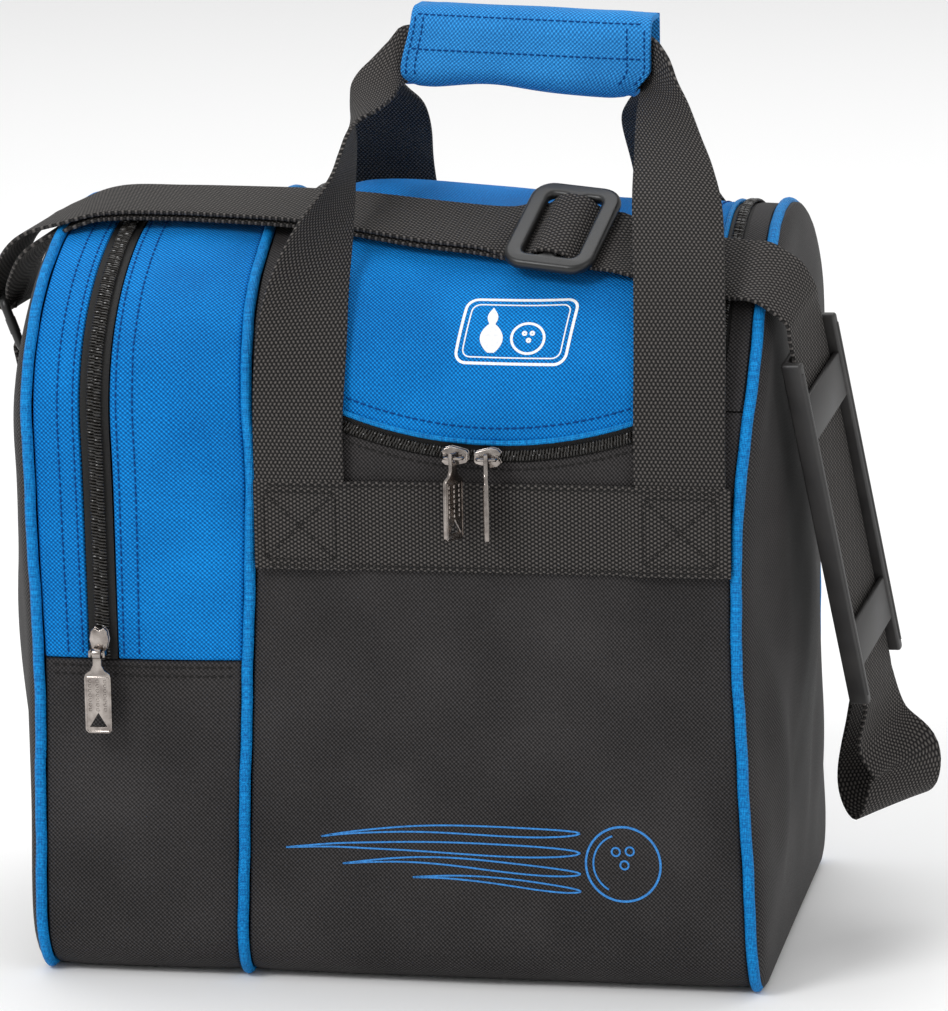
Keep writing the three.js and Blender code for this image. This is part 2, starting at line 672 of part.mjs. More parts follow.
function shoulderPad() {
  const slab = boxSolid(-PAD_HALF, PAD_HALF, -25, 25, -2.4, 0);
  const rails = [-1, 1].map((side) => boxSolid(-PAD_HALF, PAD_HALF, side * 22.7 - 2.3, side * 22.7 + 2.3, -2.4, 7));
  const bridges = [-58, 58].map((u) => boxSolid(u - 11, u + 11, -24, 24, 3.6, 6));
  const pad = geometryOf(joined([slab, ...rails, ...bridges]));
  const place = new THREE.Matrix4().makeBasis(PAD_ALONG, PAD_ACROSS, PAD_OUT).setPosition(PAD_AT);
  add('shoulder_pad', pad.applyMatrix4(place), 'plastic');
}

// Over the right piping, straight down through the pad, round the hanging loop and up to the right ring.
function strapRightRun() {
  const inPad = (u) => ({ at: padPoint(u, 0, PAD_STRAP_LIFT).toArray(), across: PAD_ACROSS.toArray() });
  const [headX, headZ] = RIGHT_RING_HEAD;
  const stations = [
    onArch(STRAP_RIGHT_CUT, -77.4, UPPER_LIFT),
    onArch(158, -80, 5.5),
    { at: [170, -84.5, 309], across: [0.25, 0.85, 0.45] },
    { at: [177.5, -81, 299], across: [0.3, 0.87, 0.4] },
    inPad(-PAD_HALF - 2),
    inPad(0),
    inPad(PAD_HALF + 2),
    { at: [212.5, -15, 103], across: [0.5, 0.8, 0.33] },
    { at: [215.5, -8.5, 82], across: [0.75, 0.6, 0.27] },
    { at: [213, -4, 66], across: [0.83, 0.49, 0.27] },
    { at: [207, 5, 58], across: [0.83, 0.49, 0.27] },
    { at: [201, 14, 65], across: [0.83, 0.49, 0.27] },
    { at: [199, 18.5, 82], across: [0.75, 0.64, 0.2] },
    { at: [197.5, 16, 105], across: [0.45, 0.88, 0.15] },
    { at: [195.5, 11, 130], across: [0.15, 0.98, 0.08] },
    level(193.5, 5, 160),
    level(192.5, 1, 190),
    ...barLoop(headX, headZ, LOOP_RADIUS, -20, 200, 7),
    level(184.6, 0, 198),
    level(188, 0, 186),
  ];
  add('shoulder_strap_right_run', ribbon(stations, STRAP_THICK, STRAP), 'webbing');
}

// A rectangular plastic loop between two bars that run along Y.
function ring(name, foot, head) {
  const length = Math.hypot(head[0] - foot[0], head[1] - foot[1]);
  const bar = RING_BAR / 2;
  const inner = STRAP / 2 + 2;
  const shape = shapeOf(rectangle(-inner - RING_BAR, inner + RING_BAR, -bar, length + bar));
  cutHole(shape, rectangle(-inner, inner, bar, length - bar));
  const plate = new THREE.ExtrudeGeometry(shape, { depth: RING_BAR, bevelEnabled: false }).translate(0, 0, -bar);
  const up = vector(head[0] - foot[0], 0, head[1] - foot[1]).normalize();
  const place = new THREE.Matrix4().makeBasis(Y, up, Y.clone().cross(up)).setPosition(foot[0], 0, foot[1]);
  add(name, plate.applyMatrix4(place), 'plastic');
}

function rings() {
  ring('ring_left', LEFT_RING_FOOT, LEFT_RING_HEAD);
  ring('ring_right', RIGHT_RING_FOOT, RIGHT_RING_HEAD);
  const leftTab = [
    level(-187.5, 0, 216),
    level(-186.3, 0, 234),
    level(-184.3, 0, 252),
    ...barLoop(...LEFT_RING_FOOT, LOOP_RADIUS, -25, 225, 8),
  ];
  const rightTab = [
    level(174, 0, 268),
    level(175.3, 0, 252),
    level(176, 0, 240),
    ...barLoop(...RIGHT_RING_FOOT, LOOP_RADIUS, 180, 430, 8),
  ];
  add('ring_tab_left', ribbon(leftTab, WEBBING_THICK, STRAP), 'webbing');
  add('ring_tab_right', ribbon(rightTab, WEBBING_THICK, STRAP), 'webbing');
}

basePieces();
ballCup();
ballPanels();
shoePanels();
shoeZip();
divider();
pipings();
endPanel('left_end_panel', -1, 20);
endPanel('right_end_panel', 1, 7);
lidPieces();
hingeWelt();
zipHardware();
bands();
handleStrap('front_handle_strap', -1);
handleStrap('rear_handle_strap', 1);
grip();
strapLeftRun();
strapOverLid();
triglide();
shoulderPad();
strapRightRun();
rings();

export default bag;
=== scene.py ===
import json
import math

import bmesh
import bpy
import numpy as np
from mathutils import Matrix, Vector
from mathutils.bvhtree import BVHTree

# A single-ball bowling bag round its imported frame. Sizes are in millimetres until build() makes metres of
# them. On the bag's skin a place is (x, s): x to the right, and s the distance from the front edge of the
# base, up the front, over the arched top and down the back.
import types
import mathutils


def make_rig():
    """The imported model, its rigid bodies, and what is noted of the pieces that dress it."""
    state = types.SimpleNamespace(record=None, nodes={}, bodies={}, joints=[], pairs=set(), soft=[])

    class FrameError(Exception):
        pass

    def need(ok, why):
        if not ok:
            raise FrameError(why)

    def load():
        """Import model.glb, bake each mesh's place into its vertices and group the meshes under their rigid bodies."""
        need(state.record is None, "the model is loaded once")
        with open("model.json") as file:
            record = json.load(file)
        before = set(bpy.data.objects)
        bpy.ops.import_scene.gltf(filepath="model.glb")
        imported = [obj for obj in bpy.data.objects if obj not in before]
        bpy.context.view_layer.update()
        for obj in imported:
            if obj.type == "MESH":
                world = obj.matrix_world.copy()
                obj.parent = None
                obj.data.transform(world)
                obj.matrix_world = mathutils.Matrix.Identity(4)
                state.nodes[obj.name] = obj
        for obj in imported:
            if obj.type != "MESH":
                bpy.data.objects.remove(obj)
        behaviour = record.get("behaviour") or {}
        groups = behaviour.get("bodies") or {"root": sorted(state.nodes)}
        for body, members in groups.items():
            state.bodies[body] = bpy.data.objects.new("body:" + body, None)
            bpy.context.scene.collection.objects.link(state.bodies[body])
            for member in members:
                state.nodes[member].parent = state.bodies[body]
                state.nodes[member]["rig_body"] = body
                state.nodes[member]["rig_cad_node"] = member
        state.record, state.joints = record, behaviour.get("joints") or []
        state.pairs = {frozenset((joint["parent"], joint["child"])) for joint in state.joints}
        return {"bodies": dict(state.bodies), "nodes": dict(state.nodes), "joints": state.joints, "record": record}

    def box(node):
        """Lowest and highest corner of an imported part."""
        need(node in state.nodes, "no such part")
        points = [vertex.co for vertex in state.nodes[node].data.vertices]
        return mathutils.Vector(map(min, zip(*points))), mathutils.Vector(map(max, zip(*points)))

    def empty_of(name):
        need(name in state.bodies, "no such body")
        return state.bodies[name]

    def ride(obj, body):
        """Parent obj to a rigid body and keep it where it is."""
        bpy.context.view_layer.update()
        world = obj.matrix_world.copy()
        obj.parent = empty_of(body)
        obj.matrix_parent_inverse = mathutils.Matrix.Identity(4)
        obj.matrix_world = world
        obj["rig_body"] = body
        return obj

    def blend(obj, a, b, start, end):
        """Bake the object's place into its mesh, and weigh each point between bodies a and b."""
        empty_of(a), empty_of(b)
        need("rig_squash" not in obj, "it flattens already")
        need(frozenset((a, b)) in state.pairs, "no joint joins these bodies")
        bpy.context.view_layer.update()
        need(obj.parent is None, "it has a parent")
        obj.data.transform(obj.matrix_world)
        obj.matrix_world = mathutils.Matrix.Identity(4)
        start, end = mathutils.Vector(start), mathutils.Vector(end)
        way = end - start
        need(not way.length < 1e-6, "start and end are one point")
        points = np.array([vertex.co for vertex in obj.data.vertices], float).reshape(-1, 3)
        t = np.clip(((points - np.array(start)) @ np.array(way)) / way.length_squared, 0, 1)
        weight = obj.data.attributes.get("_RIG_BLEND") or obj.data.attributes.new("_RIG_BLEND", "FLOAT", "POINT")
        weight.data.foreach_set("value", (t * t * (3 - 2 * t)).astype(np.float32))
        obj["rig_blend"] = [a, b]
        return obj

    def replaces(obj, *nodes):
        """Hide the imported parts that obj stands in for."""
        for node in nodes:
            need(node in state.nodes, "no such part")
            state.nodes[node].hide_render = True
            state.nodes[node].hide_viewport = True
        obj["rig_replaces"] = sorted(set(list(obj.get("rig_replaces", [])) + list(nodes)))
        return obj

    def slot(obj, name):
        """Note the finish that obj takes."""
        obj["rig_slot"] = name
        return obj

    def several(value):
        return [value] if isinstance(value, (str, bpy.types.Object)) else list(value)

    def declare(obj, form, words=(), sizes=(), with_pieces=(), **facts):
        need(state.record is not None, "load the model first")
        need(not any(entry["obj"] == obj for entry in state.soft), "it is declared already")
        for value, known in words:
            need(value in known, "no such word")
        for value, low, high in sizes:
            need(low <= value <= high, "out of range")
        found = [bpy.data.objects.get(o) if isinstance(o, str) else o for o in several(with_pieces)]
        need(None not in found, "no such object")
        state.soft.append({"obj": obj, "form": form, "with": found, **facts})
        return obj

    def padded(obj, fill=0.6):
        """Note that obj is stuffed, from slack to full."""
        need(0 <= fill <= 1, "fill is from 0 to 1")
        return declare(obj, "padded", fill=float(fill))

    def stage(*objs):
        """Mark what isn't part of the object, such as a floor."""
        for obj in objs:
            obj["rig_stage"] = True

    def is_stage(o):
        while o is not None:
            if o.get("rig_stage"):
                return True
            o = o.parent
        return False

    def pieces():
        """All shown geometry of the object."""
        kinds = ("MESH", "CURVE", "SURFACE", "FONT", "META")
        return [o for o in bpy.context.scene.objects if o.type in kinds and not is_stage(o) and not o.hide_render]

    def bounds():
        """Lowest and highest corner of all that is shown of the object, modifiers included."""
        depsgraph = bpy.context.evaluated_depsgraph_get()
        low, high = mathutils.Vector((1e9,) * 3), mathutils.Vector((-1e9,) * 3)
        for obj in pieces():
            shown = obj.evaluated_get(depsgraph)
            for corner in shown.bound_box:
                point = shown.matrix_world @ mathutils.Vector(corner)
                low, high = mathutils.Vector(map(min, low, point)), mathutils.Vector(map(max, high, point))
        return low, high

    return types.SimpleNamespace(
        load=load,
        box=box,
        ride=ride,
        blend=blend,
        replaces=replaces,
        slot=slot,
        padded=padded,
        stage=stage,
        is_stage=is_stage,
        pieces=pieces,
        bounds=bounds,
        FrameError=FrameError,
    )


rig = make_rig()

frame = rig.load()
cad_lowest, cad_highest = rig.bounds()
MM = 0.001


def side(node, axis, end):
    """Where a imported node's box begins (end 0) or ends (end 1) along an axis."""
    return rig.box(node)[end][axis] / MM


def middle(node, axis):
    """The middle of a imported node's box along an axis."""
    return (side(node, axis, 0) + side(node, axis, 1)) / 2


# Driving sizes, from the frame
LEFT = middle("piping_left", 0)
DIVIDE = middle("piping_middle", 0)
RIGHT = middle("piping_right", 0)
HALF_DEPTH = -side("ball_front_panel", 1, 0)
TOP_Z = side("lid_panel", 2, 1)
BAND_Z = [side("front_band", 2, 0), side("front_band", 2, 1)]
BAND_Y = -middle("front_band", 1)
SPLIT_Z = side("shoe_front_lower", 2, 1)
GUSSET_Z = side("gusset_left", 2, 0)
BALL_MIDDLE = (DIVIDE + RIGHT) / 2
SHOE_ZIP_X = (side("shoe_zip_left_half", 0, 0) + side("shoe_zip_right_half", 0, 1)) / 2
HINGE_Y = middle("hinge_welt", 1)
BACK_SEAM = side("body_zip_half", 1, 1)

SHOULDER_Z = 247
FLOOR_CORNER = 20
SKIN = 2.4
PIPING_RADIUS = 2.5
PIPING_LIFT = -0.3
SEAM = PIPING_RADIUS + 0.1
LID_HALF = 92
EDGE_RADIUS = 210
EDGE_BOTTOM = 248
EDGE_REACH = 76
EDGE_TOP = 290
PANEL_CUT = 9.5
ZIP_MIDDLE = 6.45
SHOE_ZIP_HALF = 6.3
STRAP_WIDTH = 38
STRAP_THICK = 1.8
WEBBING_WIDTH = 40
WEBBING_THICK = 2.0
COIL_PITCH = 1.4
COIL_STEPS = 10
TAPE_THICK = 0.8


# ---- materials ----


class Nodes:
    """Short calls for making a material's nodes."""

    def __init__(self, name):
        self.material = bpy.data.materials.new(name)
        self.material.use_nodes = True
        self.tree = self.material.node_tree
        self.shader = self.tree.nodes["Principled BSDF"]

    def link(self, value, socket):
        """Wires another node's output to a socket, or sets the socket to a plain value."""
        if isinstance(value, bpy.types.NodeSocket):
            self.tree.links.new(value, socket)
        else:
            socket.default_value = value

    def math(self, operation, a, b=0.0, c=0.0):
        """One math node on numbers or outputs."""
        node = self.tree.nodes.new("ShaderNodeMath")
        node.operation = operation
        for value, socket in zip((a, b, c), node.inputs):
            self.link(value, socket)
        return node.outputs[0]

    def place(self, mapped):
        """Across and along in metres: from the weave map, or from the object's own place."""
        if mapped:
            source = self.tree.nodes.new("ShaderNodeUVMap")
            source.uv_map = "weave"
            return source.outputs[0]
        return self.tree.nodes.new("ShaderNodeTexCoord").outputs["Object"]

    def axes(self):
        """The weave map's across and along as two values."""
        split = self.tree.nodes.new("ShaderNodeSeparateXYZ")
        self.link(self.place(True), split.inputs[0])
        return split.outputs

    def noise(self, scale, detail, mapped=True):
        """Cloudy noise from 0 to 1."""
        node = self.tree.nodes.new("ShaderNodeTexNoise")
        self.link(self.place(mapped), node.inputs["Vector"])
        node.inputs["Scale"].default_value = scale
        node.inputs["Detail"].default_value = detail
        return node.outputs["Fac"]

    def ramp(self, value, stops):
        """Colours at (place, colour) stops for a value from 0 to 1."""
        node = self.tree.nodes.new("ShaderNodeValToRGB")
        self.link(value, node.inputs[0])
        elements = node.color_ramp.elements
        while len(elements) < len(stops):
            elements.new(0.5)
        for element, (at, colour) in zip(elements, stops):
            element.position = at
            element.color = (*colour, 1)
        return node.outputs[0]

    def bump(self, height, strength, distance):
        """A normal tilted by a height."""
        node = self.tree.nodes.new("ShaderNodeBump")
        node.inputs["Strength"].default_value = strength
        node.inputs["Distance"].default_value = distance
        self.link(height, node.inputs["Height"])
        return node.outputs[0]

    def finish(self, colour, normal=None, **values):
        """The material, with its shader's other inputs given by name."""
        self.link(colour, self.shader.inputs["Base Color"])
        if normal is not None:
            self.link(normal, self.shader.inputs["Normal"])
        for name, value in values.items():
            self.link(value, self.shader.inputs[name.replace("_", " ")])
        return self.material


def wave(nodes, value, pitch):
    """A sine of a length in metres, from -1 to 1."""
    turn = nodes.math("MULTIPLY_ADD", value, 2 * math.pi / (pitch * MM))
    return nodes.math("SINE", turn)


WEAVE_PITCH = 1.9
WEBBING_ROW = 1.6
WEBBING_STITCH = 1.9
PIPING_PITCH = 1.5
THREAD_LAY = 0.55


def woven_cloth(name, deep, bright, gloss=0.15):
    """Plain woven polyester, whose crossing threads leave light dots in a diagonal check; in the low-gloss blue cloths
    these light dots are partly painted highlights.
    """
    nodes = Nodes(name)
    u, v, _ = nodes.axes()
    rising = wave(nodes, nodes.math("ADD", u, v), WEAVE_PITCH)
    falling = wave(nodes, nodes.math("SUBTRACT", u, v), WEAVE_PITCH)
    check = nodes.math("MULTIPLY_ADD", rising, 0.58, nodes.math("MULTIPLY", falling, 0.42))
    uneven = nodes.noise(900, 2.0)
    tone = nodes.math("MULTIPLY_ADD", check, 0.42, nodes.math("MULTIPLY", uneven, 0.5))
    # Large soft lighter and darker patches: tonal unevenness of the cloth, and painted light and shade of folds
    # catching the light.
    cloud = nodes.math("MULTIPLY_ADD", nodes.noise(18, 3.0), 0.5, tone)
    middling = tuple(0.65 * low + 0.35 * high for low, high in zip(deep, bright))
    colour = nodes.ramp(cloud, [(0.0, deep), (0.5, middling), (0.95, bright)])
    height = nodes.math("MULTIPLY_ADD", uneven, 0.6, check)
    return nodes.finish(
        colour,
        nodes.bump(height, 0.6, 0.0003),
        Roughness=0.65,
        Specular_IOR_Level=gloss,
        Sheen_Weight=0.03,
        Sheen_Roughness=0.4,
    )


def ribbed_webbing(name, deep, bright):
    """Heavy webbing: rows across the strap, each of slanted stitches set between those of the next."""
    nodes = Nodes(name)
    u, v, _ = nodes.axes()
    lean = nodes.math("PINGPONG", v, WEBBING_ROW * MM)
    across = nodes.math("MULTIPLY_ADD", lean, 0.16, u)
    rows = wave(nodes, v, 2 * WEBBING_ROW)
    stitch = nodes.math("MULTIPLY", wave(nodes, across, WEBBING_STITCH), rows)
    knots = nodes.math("MULTIPLY", stitch, 0.6)
    wide = nodes.math("MULTIPLY_ADD", nodes.math("ABSOLUTE", rows), 0.4, knots)
    lump = nodes.math("MAXIMUM", wide, 0.0)
    fuzz = nodes.noise(1500, 2.0)
    # Raised knots are coloured lighter: a painted highlight where light catches the ribs.
    tone = nodes.math("MULTIPLY_ADD", fuzz, 0.3, nodes.math("MULTIPLY", lump, 0.85))
    colour = nodes.ramp(tone, [(0.15, deep), (0.95, bright)])
    height = nodes.math("MULTIPLY_ADD", fuzz, 0.25, lump)
    return nodes.finish(
        colour,
        nodes.bump(height, 0.9, 0.0006),
        Roughness=0.7,
        Specular_IOR_Level=0.2,
        Sheen_Weight=0.03,
        Sheen_Roughness=0.5,
    )


def braided(name, deep, bright):
    """Bias-cut cover of a piping cord."""
    nodes = Nodes(name)
    u, v, _ = nodes.axes()
    one = wave(nodes, nodes.math("ADD", u, v), PIPING_PITCH)
    other = wave(nodes, nodes.math("SUBTRACT", u, v), PIPING_PITCH)
    check = nodes.math("MULTIPLY", one, other)
    fuzz = nodes.noise(700, 2.0)
    tone = nodes.math("MULTIPLY_ADD", check, 0.22, fuzz)
    colour = nodes.ramp(tone, [(0.25, deep), (0.8, bright)])
    height = nodes.math("MULTIPLY_ADD", fuzz, 0.4, check)
    bumps = nodes.bump(height, 0.5, 0.0003)
    return nodes.finish(colour, bumps, Roughness=0.5, Specular_IOR_Level=0.12)


def fine_tape(name, deep, bright, pitch=0.9):
    """Zip tape, lining and binding: a fine herringbone rib."""
    nodes = Nodes(name)
    u, v, _ = nodes.axes()
    ribs = wave(nodes, nodes.math("MULTIPLY_ADD", nodes.math("PINGPONG", u, 0.002), 0.8, v), pitch)
    fuzz = nodes.noise(1200, 2.0)
    tone = nodes.math("MULTIPLY_ADD", ribs, 0.15, fuzz)
    colour = nodes.ramp(tone, [(0.3, deep), (0.75, bright)])
    bumps = nodes.bump(ribs, 0.35, 0.0002)
    return nodes.finish(colour, bumps, Roughness=0.6, Specular_IOR_Level=0.25)


def moulded(name, deep, bright, roughness, grain=1400):
    """Moulded plastic with a fine spark-eroded grain and slight wear."""
    nodes = Nodes(name)
    grit = nodes.noise(grain, 3.0, mapped=False)
    cloud = nodes.noise(60, 4.0, mapped=False)
    colour = nodes.ramp(cloud, [(0.3, deep), (0.75, bright)])
    rough = nodes.math("MULTIPLY_ADD", cloud, 0.18, roughness - 0.09)
    return nodes.finish(colour, nodes.bump(grit, 0.18, 0.0002), Roughness=rough)


def plated_nickel(name):
    """Dark nickel plate: clear reflections broken by fine scratches."""
    nodes = Nodes(name)
    cloud = nodes.noise(220, 4.0, mapped=False)
    fine = nodes.noise(2600, 2.0, mapped=False)
    colour = nodes.ramp(cloud, [(0.3, (0.2, 0.175, 0.16)), (0.7, (0.42, 0.38, 0.35))])
    rough = nodes.math("MULTIPLY_ADD", cloud, 0.2, 0.1)
    return nodes.finish(colour, nodes.bump(fine, 0.06, 0.0001), Roughness=rough, Metallic=1.0)


def nylon_coil(name):
    """Smooth dark nylon wire."""
    nodes = Nodes(name)
    cloud = nodes.noise(400, 2.0)
    colour = nodes.ramp(cloud, [(0.3, (0.010, 0.009, 0.008)), (0.7, (0.03, 0.027, 0.024))])
    return nodes.finish(colour, nodes.bump(cloud, 0.1, 0.0001), Roughness=0.27)


def sewing_thread(name, deep, bright):
    """Twisted thread: a lay that winds round it."""
    nodes = Nodes(name)
    u, v, _ = nodes.axes()
    lay = wave(nodes, nodes.math("ADD", u, v), THREAD_LAY)
    colour = nodes.ramp(nodes.math("MULTIPLY_ADD", lay, 0.4, 0.5), [(0.1, deep), (0.9, bright)])
    return nodes.finish(colour, nodes.bump(lay, 0.4, 0.0001), Roughness=0.6, Specular_IOR_Level=0.08)


def printed_ink(name, deep, bright):
    """Thick screen print, finely crazed."""
    nodes = Nodes(name)
    cracks = nodes.noise(800, 3.0)
    colour = nodes.ramp(cracks, [(0.3, deep), (0.7, bright)])
    return nodes.finish(colour, nodes.bump(cracks, 0.2, 0.0002), Roughness=0.45)


def closed_foam(name):
    """Closed-cell foam."""
    nodes = Nodes(name)
    cells = nodes.tree.nodes.new("ShaderNodeTexVoronoi")
    nodes.link(nodes.place(False), cells.inputs["Vector"])
    cells.inputs["Scale"].default_value = 900
    cloud = nodes.noise(70, 3.0, mapped=False)
    colour = nodes.ramp(cloud, [(0.3, (0.030, 0.030, 0.033)), (0.7, (0.055, 0.055, 0.06))])
    return nodes.finish(colour, nodes.bump(cells.outputs["Distance"], 0.3, 0.0004), Roughness=0.9)


# The brightest blues are painted highlights: the weave's glints are put into the colour, since both blue cloths have a
# gloss of only 0.06.
BLUE_DEEP = (0.001, 0.045, 0.19)
BLUE_PAINTED_HIGHLIGHT = (0.008, 0.33, 0.9)
LOOKS = {
    "blue_fabric": woven_cloth("blue_fabric", BLUE_DEEP, BLUE_PAINTED_HIGHLIGHT, 0.06),
    "grip_fabric": woven_cloth("grip_fabric", (0.01, 0.085, 0.28), (0.05, 0.42, 0.98), 0.06),
    "black_fabric": woven_cloth("black_fabric", (0.0015, 0.0013, 0.0014), (0.066, 0.061, 0.061)),
    "blue_piping": braided("blue_piping", (0.001, 0.085, 0.3), (0.008, 0.33, 0.8)),
    # The webbing's bright colour is the painted highlight on its raised ribs.
    "webbing": ribbed_webbing("webbing", (0.002, 0.0018, 0.002), (0.13, 0.118, 0.11)),
    "zip_tape": fine_tape("zip_tape", (0.004, 0.004, 0.004), (0.018, 0.017, 0.016)),
    "lining": fine_tape("lining", (0.016, 0.016, 0.018), (0.034, 0.034, 0.037), 0.7),
    "coil": nylon_coil("coil"),
    "plastic": moulded("black_plastic", (0.004, 0.004, 0.004), (0.011, 0.011, 0.011), 0.36),
    "pad_plastic": moulded("pad_plastic", (0.016, 0.015, 0.015), (0.034, 0.032, 0.031), 0.45),
    "nickel": plated_nickel("nickel"),
    "black_thread": sewing_thread("black_thread", (0.008, 0.008, 0.008), (0.035, 0.033, 0.032)),
    "blue_thread": sewing_thread("blue_thread", (0.001, 0.025, 0.12), (0.004, 0.07, 0.28)),
    "white_print": printed_ink("white_print", (0.72, 0.73, 0.75), (0.88, 0.89, 0.9)),
    "blue_print": printed_ink("blue_print", (0.012, 0.14, 0.42), (0.025, 0.27, 0.72)),
    "foam": closed_foam("foam"),
    "board": moulded("stiffener_board", (0.035, 0.035, 0.035), (0.06, 0.06, 0.06), 0.65, 500),
}
SLOTS = {  # each look's slot in the record
    "blue_fabric": "blue_fabric", "grip_fabric": "blue_fabric", "black_fabric": "black_fabric",
    "blue_piping": "blue_piping", "webbing": "webbing", "zip_tape": "zip_tape",
    "lining": "black_fabric", "coil": "zip_tape",
    "plastic": "black_plastic", "pad_plastic": "black_plastic", "nickel": "nickel",
    "black_thread": "webbing", "blue_thread": "blue_fabric", "white_print": "blue_fabric",
    "blue_print": "blue_piping", "foam": "foam", "board": "stiffener_board",
}


# ---- making pieces ----

PIECES = {}


def build(name, points, faces, looks, body, uvs=None, looks_of=None, nodes=(), sharp=40):
    """A mesh piece from points in millimetres that rides on a body and stands for CAD nodes."""
    looks = [looks] if isinstance(looks, str) else looks
    mesh = bpy.data.meshes.new(name)
    points = np.asarray(points, float).reshape(-1, 3) * MM
    mesh.from_pydata(points.tolist(), [], [tuple(face) for face in faces])
    for look in looks:
        mesh.materials.append(LOOKS[look])
    if looks_of is not None:
        mesh.polygons.foreach_set("material_index", np.asarray(looks_of, np.int32))
    layer = mesh.uv_layers.new(name="weave")
    corners = np.empty(len(mesh.loops), np.int32)
    mesh.loops.foreach_get("vertex_index", corners)
    flat = np.asarray(uvs, float).reshape(-1, 2) * MM if uvs is not None else points[:, [0, 2]]
    layer.data.foreach_set("uv", flat[corners].astype(np.float32).ravel())
    mesh.shade_smooth()
    mesh.set_sharp_from_angle(angle=math.radians(sharp))
    mesh.validate()
    piece = bpy.data.objects.new(name, mesh)
    bpy.context.scene.collection.objects.link(piece)
    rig.slot(piece, SLOTS[looks[0]])
    if body is not None:
        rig.ride(piece, body)
    if nodes:
        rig.replaces(piece, *nodes)
    PIECES[name] = piece
    return piece


def grid_faces(rows, columns, wrap_rows=False, wrap_columns=False, start=0):
    """The quads of a grid of points numbered row by row from start."""
    faces = []
    for i in range(rows if wrap_rows else rows - 1):
        for j in range(columns if wrap_columns else columns - 1):
            this_row = start + i * columns
            next_row = start + (i + 1) % rows * columns
            beside = (j + 1) % columns
            faces.append((this_row + j, this_row + beside, next_row + beside, next_row + j))
    return faces


def shifted(faces, start):
    """The faces renumbered for points that begin at start."""
    return [tuple(start + i for i in face) for face in faces]


def turned_over(faces):
    """The faces wound the other way."""
    return [tuple(reversed(face)) for face in faces]


def both_sides(across, along):
    """The weave map of a sheet's two sides, each laid out like its grid."""
    return np.concatenate([np.stack([across, along], axis=-1).reshape(-1, 2)] * 2)


def rim_of(rows, columns):
    """The indices round the edge of a grid, in order."""
    top = list(range(columns))
    right = [i * columns + columns - 1 for i in range(1, rows)]
    bottom = [(rows - 1) * columns + j for j in range(columns - 2, -1, -1)]
    left = [i * columns for i in range(rows - 2, 0, -1)]
    return top + right + bottom + left


def slab_parts(outer, inner):
    """Points, faces and which faces are the lining, for a closed sheet between two grids."""
    rows, columns = outer.shape[:2]
    count = rows * columns
    points = np.concatenate([outer.reshape(-1, 3), inner.reshape(-1, 3)])
    front = grid_faces(rows, columns)
    back = turned_over(grid_faces(rows, columns, start=count))
    rim = rim_of(rows, columns)
    edge = []
    for a, b in zip(rim, rim[1:] + rim[:1]):
        edge.append((b, a, a + count, b + count))
    return points, front + back + edge, [0] * len(front) + [1] * len(back) + [0] * len(edge)


def ringed_parts(outer, inner):
    """The same for a sheet made of rings, one inside the other, with a cap in the smallest."""
    rings, around = outer.shape[:2]
    count = rings * around
    last = (rings - 1) * around
    points = np.concatenate([outer.reshape(-1, 3), inner.reshape(-1, 3)])
    front = grid_faces(rings, around, wrap_columns=True)
    back = turned_over(grid_faces(rings, around, wrap_columns=True, start=count))
    rim = [((j + 1) % around, j, j + count, (j + 1) % around + count) for j in range(around)]
    front_cap = tuple(last + j for j in range(around))
    back_cap = tuple(count + last + j for j in reversed(range(around)))
    kinds = [0] * len(front) + [1] * len(back) + [0] * len(rim) + [0, 1]
    return points, front + back + rim + [front_cap, back_cap], kinds


def outward(points, faces):
    """The faces turned over if they enclose a negative volume."""
    points = np.asarray(points, float).reshape(-1, 3)
    volume = 0.0
    for face in faces:
        for i in range(1, len(face) - 1):
            a, b, c = points[face[0]], points[face[i]], points[face[i + 1]]
            volume += float(np.dot(a, np.cross(b, c)))
    return faces if volume > 0 else turned_over(faces)


NEAR_SEAM = (0.0, 0.5, 1.3, 2.6, 4.6)


def spread(length, step):
    """Distances from 0 to length, close together near both ends."""
    first = [d for d in NEAR_SEAM if d < length / 2]
    inner = length - 2 * first[-1]
    count = max(1, round(inner / step))
    between = [first[-1] + inner * i / count for i in range(1, count)]
    return np.array(first + between + [length - d for d in reversed(first)])


def smooth(value):
    """An easy step from 0 to 1."""
    value = np.clip(value, 0.0, 1.0)
    return value * value * (3 - 2 * value)


def curve_through(values, steps):
    """Catmull-Rom through rows of numbers."""
    rows = np.asarray(values, float)
    padded = np.vstack([2 * rows[0] - rows[1], rows, 2 * rows[-1] - rows[-2]])
    made = []
    for i in range(1, len(padded) - 2):
        a, b, c, d = padded[i - 1 : i + 3]
        for k in range(steps):
            t = k / steps
            square = (2 * a - 5 * b + 4 * c - d) * t * t
            cube = (3 * b - a - 3 * c + d) * t**3
            made.append(0.5 * (2 * b + (c - a) * t + square + cube))
    made.append(rows[-1])
    return np.array(made)


def run_lengths(points):
    """The distance along a polyline at each of its points."""
    return np.concatenate([[0], np.cumsum(np.linalg.norm(np.diff(points, axis=0), axis=1))])


def evenly(points, step):
    """A polyline at even steps, and the distances along it. Columns after the third are carried along."""
    points = np.asarray(points, float)
    lengths = run_lengths(points[:, :3])
    count = max(2, int(round(lengths[-1] / step)) + 1)
    at = np.linspace(0, lengths[-1], count)
    return np.column_stack([np.interp(at, lengths, points[:, k]) for k in range(points.shape[1])]), at


# ---- the bag's skin ----


